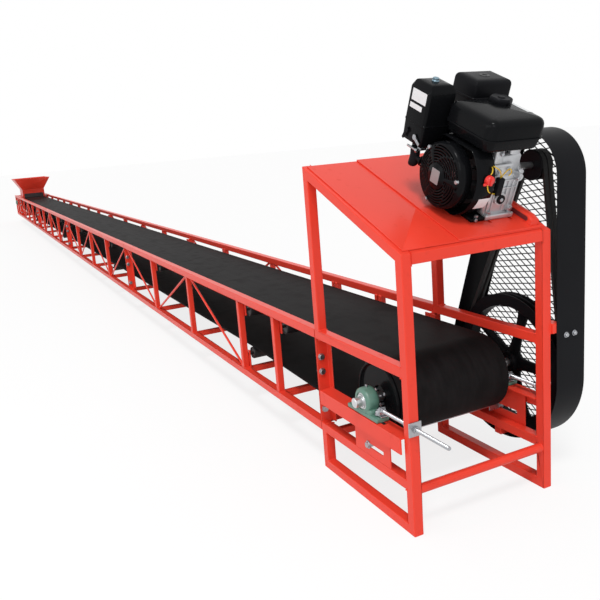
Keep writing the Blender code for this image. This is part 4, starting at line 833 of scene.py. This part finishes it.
class MakeEngineBlock(bpy.types.Operator):
    """Builds the cast crankcase with its feet, ribs and side cover, and dresses the cylinder"""
    bl_idname = "conveyor.make_engine_block"
    bl_label = "Engine block"

    def execute(self, context):
        parts = [boxed(low, high, edge) for low, high, edge in (
            ((-0.095, 0.080, 0.0003), (0.095, 0.178, 0.015), 0.003),
            ((-0.082, 0.074, 0.008), (0.082, 0.182, 0.126), 0.010),
            ((-0.062, 0.072, 0.090), (0.064, 0.184, 0.177), 0.009),
            ((0.030, 0.078, 0.120), (0.078, 0.150, 0.158), 0.008),
            ((0.044, 0.082, 0.150), (0.070, 0.112, 0.2003), 0.005),
            ((0.020, 0.142, 0.165), (0.060, 0.178, 0.2003), 0.006),
            ((-0.060, 0.085, 0.170), (-0.030, 0.112, 0.2003), 0.005),
            ((-0.060, 0.142, 0.170), (-0.030, 0.172, 0.2003), 0.005))]
        parts += [rod((start, y, h), (end, y, h), radius, 24) for start, end, y, h, radius in (
            (0.078, 0.0915, 0.118, 0.060, 0.018), (0.078, 0.093, 0.160, 0.030, 0.0085),
            (0.060, 0.0925, 0.168, 0.120, 0.010))]
        parts += [boxed((0.080, y - 0.0018, 0.020), (0.0865, y + 0.0018, 0.112), 0.0012)
                  for y in (0.0835, 0.098, 0.139, 0.155, 0.1705)]
        parts += [boxed((0.0805, 0.082, h - 0.002), (0.0875, 0.172, h + 0.002), 0.0012) for h in (0.090, 0.112)]
        parts.append(solid([(0.066, 0.182), (0.066, 0.190), (0.062, 0.196), (0.040, 0.202), (0.030, 0.208),
                            (0.0112, 0.208)], (0.0, 0.0, sizes().crank_height), ACROSS, 72))
        bosses = round_crank(0.071, np.arange(7) * 2 * np.pi / 7 + 0.3, 0.92)
        parts += [rod((x, 0.176, h), (x, 0.1905, h), 0.0085, 24) for x, h in bosses]
        put("crankcase_casting", on_engine(*parts), "alloy", "crankcase", smooth=40)

        bolts = [hexagon((x, 0.1905, h), ACROSS, 0.010, 0.006) for x, h in bosses]
        for x, y in product((-0.084727, 0.084727), (0.092, 0.166)):
            bolts += [washer((x, y, 0.0150), UP, 0.0095, 0.0016), hexagon((x, y, 0.0150), UP, 0.0125, 0.0085)]
        bolts += [hexagon((x, y, h), (1, 0, 0), *M6_HEAD) for x, y, h in (
            (0.0785, 0.098, 0.140), (0.0785, 0.128, 0.145), (0.0700, 0.100, 0.185), (0.0918, 0.160, 0.120),
            (0.0918, 0.118, 0.060), (0.0918, 0.160, 0.030))]
        put("engine_bolts", on_engine(*bolts), "zinc", smooth=20)
        plug = rod((0.0912, 0.118, 0.060), (0.0955, 0.118, 0.060), 0.013, 24)
        module = boxed((0.0835, 0.088, 0.076), (0.1010, 0.108, 0.126), 0.003)
        put("ignition_module", on_engine(plug, module), "soft_black")
        dress("cylinder", "alloy", 0.0008)
        dress("carburettor", "alloy", 0.002)
        dress("flywheel_fan", "iron", 0.0)
        return {"FINISHED"}


class MakeEngineCovers(bpy.types.Operator):
    """Builds the fan housing and the slotted starter cover, with their blank sticker and plate"""
    bl_idname = "conveyor.make_engine_covers"
    bl_label = "Engine covers"

    def execute(self, context):
        crank = sizes().crank_height
        t = np.linspace(0, 2 * np.pi, 96, endpoint=False)
        outer, wall, front, back = 0.112, 0.003, 0.0022, 0.066
        profile = [(outer, front + 0.003), (outer, back - 0.006), (0.110, back - 0.002), (0.106, back),
                   (0.012, back), (0.012, back - wall), (0.106, back - wall), (0.109, back - 0.007),
                   (0.109, front + 0.002), (0.110, front)]
        rings = []
        for radius, y in profile:
            inset = outer - radius if radius > 0.1 else 0.0
            h = np.clip(crank + radius * np.sin(t), 0.0013 + inset, 0.1998 - inset)
            rings.append(np.stack([radius * np.cos(t), np.full(len(t), y), h], -1))
        put("fan_housing", on_engine(hoop(np.array(rings))), "gloss", "fan_shroud", smooth=35)
        put("fan_duct", on_engine(boxed((-0.122, 0.0475, 0.085), (-0.030, 0.0655, 0.1995), 0.008),
                                  boxed((-0.112, 0.030, 0.040), (-0.060, 0.0655, 0.140), 0.010)), "gloss", smooth=40)

        # The starter cover: a domed disc with a rolled edge, cut by rows of curved slots that spokes and fins cross.
        eye, dome_start, dome_end, count = 0.004, 0.0335, 0.0804, 120
        radii = np.concatenate([[0.0, 0.014, 0.0295, 0.031, dome_start, 0.036], 0.036 + np.arange(1, 13) * 0.0037,
                                [0.0835, 0.0865, 0.0890, 0.0908, 0.0916, 0.0918, 0.0918]])
        depth = np.interp(radii, [0, 0.0295, 0.031, dome_start, dome_end, 0.0865, 0.0908, 0.0918],
                          [0.0, 0.0, 0.0016, 0.0026, 0.0085, 0.0125, 0.0185, 0.024])
        dome = (radii > dome_start) & (radii < dome_end)
        depth[dome] = 0.0026 + 0.0060 * ((radii[dome] - dome_start) / (dome_end - dome_start)) ** 1.6
        depth[-1] = 0.0508
        radii[0] = eye
        t = np.linspace(0, 2 * np.pi, count, endpoint=False)
        points = np.stack([radii[:, None] * np.cos(t),
                           np.broadcast_to(-0.0496 + depth[:, None], (len(radii), count)),
                           crank + radii[:, None] * np.sin(t)], -1)
        ring, column = np.meshgrid(np.arange(len(radii) - 1), np.arange(count), indexing="ij")
        slotted = (ring >= 5) & (ring <= 17) & (ring % 2 == 1)
        spoke = column % 40 < 4
        fin = (column + (ring // 2) * 3) % 20 < 2
        faces = np.array(quads(len(radii), count)).reshape(len(radii) - 1, count, 4)
        faces = faces[~slotted | spoke | fin].tolist() + [list(range(count))[::-1]]
        cover = put("starter_cover", on_engine((points, faces)), "gloss", "recoil_cover", smooth=50)
        wall = cover.modifiers.new("wall", "SOLIDIFY")
        wall.thickness, wall.offset = 0.0024, 1.0

        rings = rounded_levels((-0.017, -0.020), (0.017, 0.020), [(0, 0), (0.0004, 0.0002)], 0.003, 5)
        rings = np.stack([rings[..., 0], -0.0497 - rings[..., 2] * 0.7, crank + rings[..., 1]], -1)
        put("bare_plate", on_engine(skin(rings)), "plate")
        t = np.radians(np.linspace(-34, -14, 9))
        rings = [np.stack([radius * np.cos(t), np.full(len(t), y), crank + radius * np.sin(t)], -1)
                 for radius, y in ((outer, 0.024), (outer, 0.061), (outer + 0.0003, 0.061), (outer + 0.0003, 0.024))]
        put("housing_sticker", on_engine(skin(np.array(rings).transpose(1, 0, 2))), "sticker")
        put("housing_foot", on_engine(boxed((0.048, 0.030, 0.0010), (0.0940, 0.0785, 0.0105), 0.002)), "gloss")
        bolts = [hexagon((x, -0.0385, h), -ACROSS, M6_HEAD[0], 0.0075)
                 for x, h in round_crank(0.083, np.radians([12, 132, 252]))]
        bolts += [hexagon((0.0850, 0.052, 0.0105), UP, M6_HEAD[0], 0.0065),
                  hexagon((0.0935, 0.045, 0.0065), (1, 0, 0), 0.0090, 0.0050)]
        put("cover_bolts", on_engine(*bolts), "zinc", smooth=20)
        return {"FINISHED"}


class MakeTank(bpy.types.Operator):
    """Builds the seamed fuel tank and its lobed cap"""
    bl_idname = "conveyor.make_tank"
    bl_label = "Fuel tank"

    def execute(self, context):
        side = 0.200                                # the tank's side, across from the middle of the belt
        levels = [(0.2013, 0.030), (0.2020, 0.022), (0.2045, 0.0150), (0.2085, 0.0100), (0.2150, 0.0070),
                  (0.2330, 0.0045), (0.2352, 0.0040), (0.2360, -0.0010), (0.2380, -0.0016), (0.2398, -0.0010),
                  (0.2405, 0.0020), (0.2660, 0.0024), (0.2740, 0.0036), (0.2800, 0.0064), (0.2845, 0.0108),
                  (0.2875, 0.0165), (0.2893, 0.0240), (0.2912, 0.0380), (0.2935, 0.0600), (0.2953, 0.0850)]
        shell = skin(rounded_levels((-0.085, 0.005), (0.112, side), levels, 0.030, 9))
        put("tank_shell", on_engine(shell), "gloss", "fuel_tank", smooth=50)
        t = np.linspace(0, 2 * np.pi, 120, endpoint=False)
        lobes = 0.030 * np.sign(np.cos(6 * t)) * np.abs(np.cos(6 * t)) ** 0.5
        profile = [(0.0285, 0.0008, 0), (0.0296, 0.0030, 1), (0.0300, 0.0110, 1), (0.0296, 0.0150, 1),
                   (0.0280, 0.0172, 1), (0.0262, 0.0178, 0.4), (0.0240, 0.0166, 0), (0.0110, 0.0164, 0),
                   (0.0090, 0.0190, 0), (0.0020, 0.0194, 0)]
        rings = [np.stack([-0.020 + r * (1 + k * lobes) * np.cos(t), 0.135 + r * (1 + k * lobes) * np.sin(t),
                           np.full(len(t), 0.2905 + h)], -1) for r, h, k in profile]
        put("tank_cap", on_engine(skin(rings)), "soft_black", "fuel_cap", smooth=45)
        heights, insets = np.array(levels[10:]).T
        inset = np.linspace(0.0100, 0.0340, 9)
        sheet = np.stack([np.full(9, -0.045), side - inset, np.interp(inset, insets, heights) + 0.0002], -1)
        sheet = sheet[:, None] + np.array([[0.0, 0.0, 0.0], [0.100, 0.0, 0.0]])
        lifted = sheet + (0.0, 0.0003, 0.0005)
        put("tank_sticker", on_engine(skin(np.concatenate([sheet, lifted[:, ::-1]], 1))), "sticker")
        return {"FINISHED"}


class MakeIntake(bpy.types.Operator):
    """Builds the air cleaner with its blank stickers, the muffler, and the small fittings between them"""
    bl_idname = "conveyor.make_intake"
    bl_label = "Air cleaner and muffler"

    def execute(self, context):
        face = -0.0498                              # the air cleaner's outer face, across from mid belt
        levels = [(0.1485, 0.010), (0.1500, 0.0060), (0.1650, 0.0030), (0.2050, 0.0016), (0.2062, 0.0002),
                  (0.2095, 0.0002), (0.2107, 0.0014), (0.2980, 0.0020), (0.3010, 0.0030), (0.3150, 0.0105),
                  (0.3178, 0.0130), (0.3192, 0.0165), (0.3202, 0.0300)]
        shell = skin(rounded_levels((-0.185, face), (-0.089, 0.0445), levels, 0.009, 6))
        put("cleaner_shell", on_engine(shell), "gloss", "air_cleaner", smooth=28)
        for name, low, high in (("cleaner_sticker_upper", (-0.168, 0.264), (-0.102, 0.296)),
                                ("cleaner_sticker_lower", (-0.170, 0.243), (-0.114, 0.257))):
            flat = rounded_levels(low, high, [(0, 0), (0.0003, 0.0001)], 0.002, 5)
            lean = 0.0014 + (flat[..., 1] - 0.2107) * 0.0006 / 0.0873
            put(name, on_engine(skin(np.stack([flat[..., 0], face + lean - 0.0002 - flat[..., 2], flat[..., 1]], -1))),
                "sticker")
        put("cleaner_knob", on_engine(solid([(0.0100, 0.0), (0.0105, 0.002), (0.0088, 0.004), (0.0092, 0.009),
                                             (0.0070, 0.0105), (0.0020, 0.0118)], (-0.137, -0.003, 0.3200), UP, 40)),
            "knob")

        levels = [(0.2452, 0.0100), (0.2470, 0.0050), (0.2520, 0.0022), (0.2760, 0.0016), (0.2775, 0.0),
                  (0.2805, 0.0), (0.2820, 0.0016), (0.3150, 0.0020), (0.3215, 0.0040), (0.3260, 0.0085),
                  (0.3282, 0.0140), (0.3292, 0.0240)]
        shell = skin(rounded_levels((-0.195, 0.100), (-0.089, 0.235), levels, 0.012, 6))
        put("muffler_shell", on_engine(shell), "guard", "muffler", smooth=40)
        lip = collar([(0.007, 0.0), (0.016, 0.0), (0.015, 0.0018), (0.008, 0.0018)], (-0.142, 0.168, 0.3286), UP, 32)
        put("muffler_pipe", on_engine(rod((-0.142, 0.145, 0.186), (-0.142, 0.145, 0.247), 0.0135, 24), lip), "iron")

        put("linkage", on_engine(rod((-0.150, -0.045, 0.137), (-0.108, -0.045, 0.137), 0.0032, 12),
                                 hexagon((-0.108, -0.045, 0.137), (1, 0, 0), *M6_HEAD),
                                 rod((-0.1220, 0.060, 0.150), (-0.1220, 0.060, 0.1985), 0.0045),
                                 hexagon((-0.104, 0.050, 0.166), (1, 0, 0), 0.012, 0.010),
                                 boxed((-0.112, -0.040, 0.139), (-0.096, -0.018, 0.1465), 0.0015)), "zinc", smooth=25)
        put("linkage_bracket", on_engine(boxed((-0.176, -0.012, 0.122), (-0.150, 0.036, 0.1482), 0.004),
                                         boxed((-0.150, 0.010, 0.128), (-0.116, 0.040, 0.1482), 0.004)), "soft_black")
        return {"FINISHED"}


class MakeControls(bpy.types.Operator):
    """Builds the starter grip, the stop switch, and the wiring clipped to the engine"""
    bl_idname = "conveyor.make_controls"
    bl_label = "Hand controls and wiring"

    def execute(self, context):
        x, y, h = -0.128, -0.030, 0.1105            # the middle of the starter grip
        s = np.linspace(-1, 1, 25)[:, None]
        t = np.linspace(0, 2 * np.pi, 28, endpoint=False)
        radius = 0.0148 * np.sqrt(np.maximum(1 - np.abs(s) ** 5, 0.0)) * (1 + 0.16 * s ** 2) + 0.0004
        rings = np.stack([x - 0.006 * s ** 2 + radius * np.cos(t), y + 0.86 * radius * np.sin(t),
                          np.broadcast_to(h + 0.0318 * s, (len(s), len(t)))], -1)
        stem = solid([(0.0105, 0.0), (0.0085, 0.006), (0.0070, 0.016), (0.0070, 0.026), (0.0095, 0.034),
                      (0.0100, 0.0355)], (x, y, h), (1, 0, 0), 40)
        put("grip_handle", on_engine(skin(rings), stem), "soft_black", "starter_grip", smooth=60)
        guide = [(0.0115, 0.0), (0.0150, 0.0), (0.0150, 0.006), (0.0115, 0.006)]
        put("grip_guide", on_engine(collar(guide, (-0.0918, y, h), (1, 0, 0), 32)), "gloss")

        button = [(0.0130, 0.0004), (0.0130, 0.010), (0.0118, 0.0122), (0.0090, 0.0132)]
        knob = on_engine(solid(button, (0.1110, 0.036, 0.1354), (1, 0, 0), 40),
                         boxed((0.1225, 0.0325, 0.1240), (0.1278, 0.0395, 0.1475), 0.0015),
                         boxed((0.1152, 0.0180, 0.1220), (0.1202, 0.0300, 0.1290), 0.0015))
        put("stop_knob", knob, "stop_red", "engine_switch", smooth=35)
        dress("throttle_lever", "zinc", 0.0005)
        dress("choke_lever", "soft_black", 0.0005)

        runs = [
            [(0.098, 0.051, 0.164), (0.104, 0.049, 0.160), (0.1085, 0.046, 0.154), (0.1090, 0.043, 0.148)],
            [(0.1118, 0.037, 0.124), (0.1130, 0.039, 0.113), (0.1130, 0.045, 0.102), (0.110, 0.055, 0.095),
             (0.102, 0.070, 0.087), (0.094, 0.088, 0.081)],
            [(0.0925, 0.098, 0.128), (0.096, 0.104, 0.142), (0.094, 0.116, 0.150), (0.0905, 0.128, 0.146),
             (0.0885, 0.134, 0.136), (0.086, 0.130, 0.126)],
            [(0.101, 0.052, 0.168), (0.108, 0.066, 0.160), (0.104, 0.080, 0.148), (0.096, 0.092, 0.134),
             (0.092, 0.096, 0.126)],
        ]
        put("engine_wires", on_engine(*(path_tube(smooth_path(knots, 28), 0.0016) for knots in runs)), "yellow",
            smooth=60)
        return {"FINISHED"}


class MakeStage(bpy.types.Operator):
    """Adds the pale floor, the soft studio lights and the camera"""
    bl_idname = "conveyor.make_stage"
    bl_label = "Studio"

    def execute(self, context):
        scene = bpy.context.scene
        scene.view_settings.view_transform = "Standard"
        mesh = bpy.data.meshes.new("floor")
        half = 60.0
        mesh.from_pydata([(-half, -half, 0), (half, -half, 0), (half, half, 0), (-half, half, 0)], [], [(0, 1, 2, 3)])
        floor = self.placed("floor", mesh)
        material = bpy.data.materials.new("studio_floor")
        material.use_nodes = True
        tree = material.node_tree
        start = Signal(tree)
        shader = tree.nodes["Principled BSDF"]
        shader.inputs["Base Color"].default_value = (0.92, 0.92, 0.92, 1)
        shader.inputs["Roughness"].default_value = 0.9
        shader.inputs["Specular IOR Level"].default_value = 0.1
        glow = start.node("ShaderNodeEmission", {"Color": (1, 1, 1, 1), "Strength": 1.0})
        seen = start.node("ShaderNodeLightPath", out=0)
        mixed = start.node("ShaderNodeMixShader", {0: seen * 0.80, 1: Signal(tree, shader.outputs[0]), 2: glow})
        tree.links.new(mixed.socket, tree.nodes["Material Output"].inputs[0])
        mesh.materials.append(material)

        world = bpy.data.worlds.new("studio_world")
        scene.world = world
        world.use_nodes = True
        tree = world.node_tree
        outs = Signal(tree).node("ShaderNodeLightPath").socket.node.outputs
        camera_ray, clear_ray, gloss_ray = [Signal(tree, outs[f"Is {kind} Ray"])
                                            for kind in ("Camera", "Transmission", "Glossy")]
        seen = (((camera_ray + clear_ray) > 0.5) + gloss_ray) > 0.5
        tree.links.new((0.52 + seen * 0.48).socket, tree.nodes["Background"].inputs[1])
        tree.nodes["Background"].inputs[0].default_value = (1, 1, 1, 1)

        sun = bpy.data.lights.new("key_sun", "SUN")
        sun.energy, sun.angle = 1.55, math.radians(14)
        self.placed("key_sun", sun).rotation_euler = Vector((0.45, -0.30, 1.0)).to_track_quat("Z", "Y").to_euler()
        for name, place, size, power in (("soft_front", (10.5, -2.6, 3.2), (2.2, 2.2), 50.0),
                                         ("soft_side", (6.2, -4.2, 2.6), (5.0, 1.6), 45.0)):
            lamp = bpy.data.lights.new(name, "AREA")
            lamp.shape, lamp.size, lamp.size_y, lamp.energy = "RECTANGLE", *size, power
            made = self.placed(name, lamp)
            made.location = place
            aim = Vector(START) + Vector((0.3, 0.0, 0.6)) - Vector(place)
            made.rotation_euler = (-aim).to_track_quat("Z", "Y").to_euler()

        data = bpy.data.cameras.new("camera")
        data.lens, data.sensor_width = 41.70, 36.0
        data.shift_x, data.shift_y = 0.00047, -0.01665
        data.clip_end = 200.0
        scene.camera = self.placed("camera", data)
        turn = Matrix(((0.4414, -0.1558, 0.8837), (0.8938, 0.1637, -0.4176), (-0.0796, 0.9741, 0.2115)))
        place = Matrix.Translation(Vector(START) + Vector((1.9464, -1.2104, 1.0832)))
        scene.camera.matrix_world = place @ turn.to_4x4()
        return {"FINISHED"}

    def placed(self, name, data):
        made = bpy.data.objects.new(name, data)
        bpy.context.scene.collection.objects.link(made)
        return made


class ConveyorPanel(bpy.types.Panel):
    """Lists the steps that build the conveyor"""
    bl_label = "Truss belt conveyor"
    bl_idname = "VIEW3D_PT_truss_belt_conveyor"
    bl_space_type = "VIEW_3D"
    bl_region_type = "UI"
    bl_category = "Conveyor"

    def draw(self, context):
        for group in (context.scene.conveyor_sizes, context.scene.conveyor_colours):
            for name in group.bl_rna.properties.keys():
                if name not in {"rna_type", "name"}:
                    self.layout.prop(group, name)
        for step in STEPS:
            self.layout.operator(step.bl_idname)


STEPS = (MakeFrame, MakeBelt, MakeBearings, MakeDrive, MakeGuard, MakeEngineBlock, MakeEngineCovers, MakeTank,
         MakeIntake, MakeControls, MakeStage)
CLASSES = (ConveyorSizes, ConveyorColours) + STEPS + (ConveyorPanel,)


def register():
    for kind in CLASSES:
        bpy.utils.register_class(kind)
    bpy.types.Scene.conveyor_sizes = PointerProperty(type=ConveyorSizes)
    bpy.types.Scene.conveyor_colours = PointerProperty(type=ConveyorColours)


def unregister():
    del bpy.types.Scene.conveyor_colours
    del bpy.types.Scene.conveyor_sizes
    for kind in reversed(CLASSES):
        bpy.utils.unregister_class(kind)


def main():
    register()
    for step in STEPS:
        group, name = step.bl_idname.split(".")
        getattr(getattr(bpy.ops, group), name)()


if __name__ == "__main__":
    main()
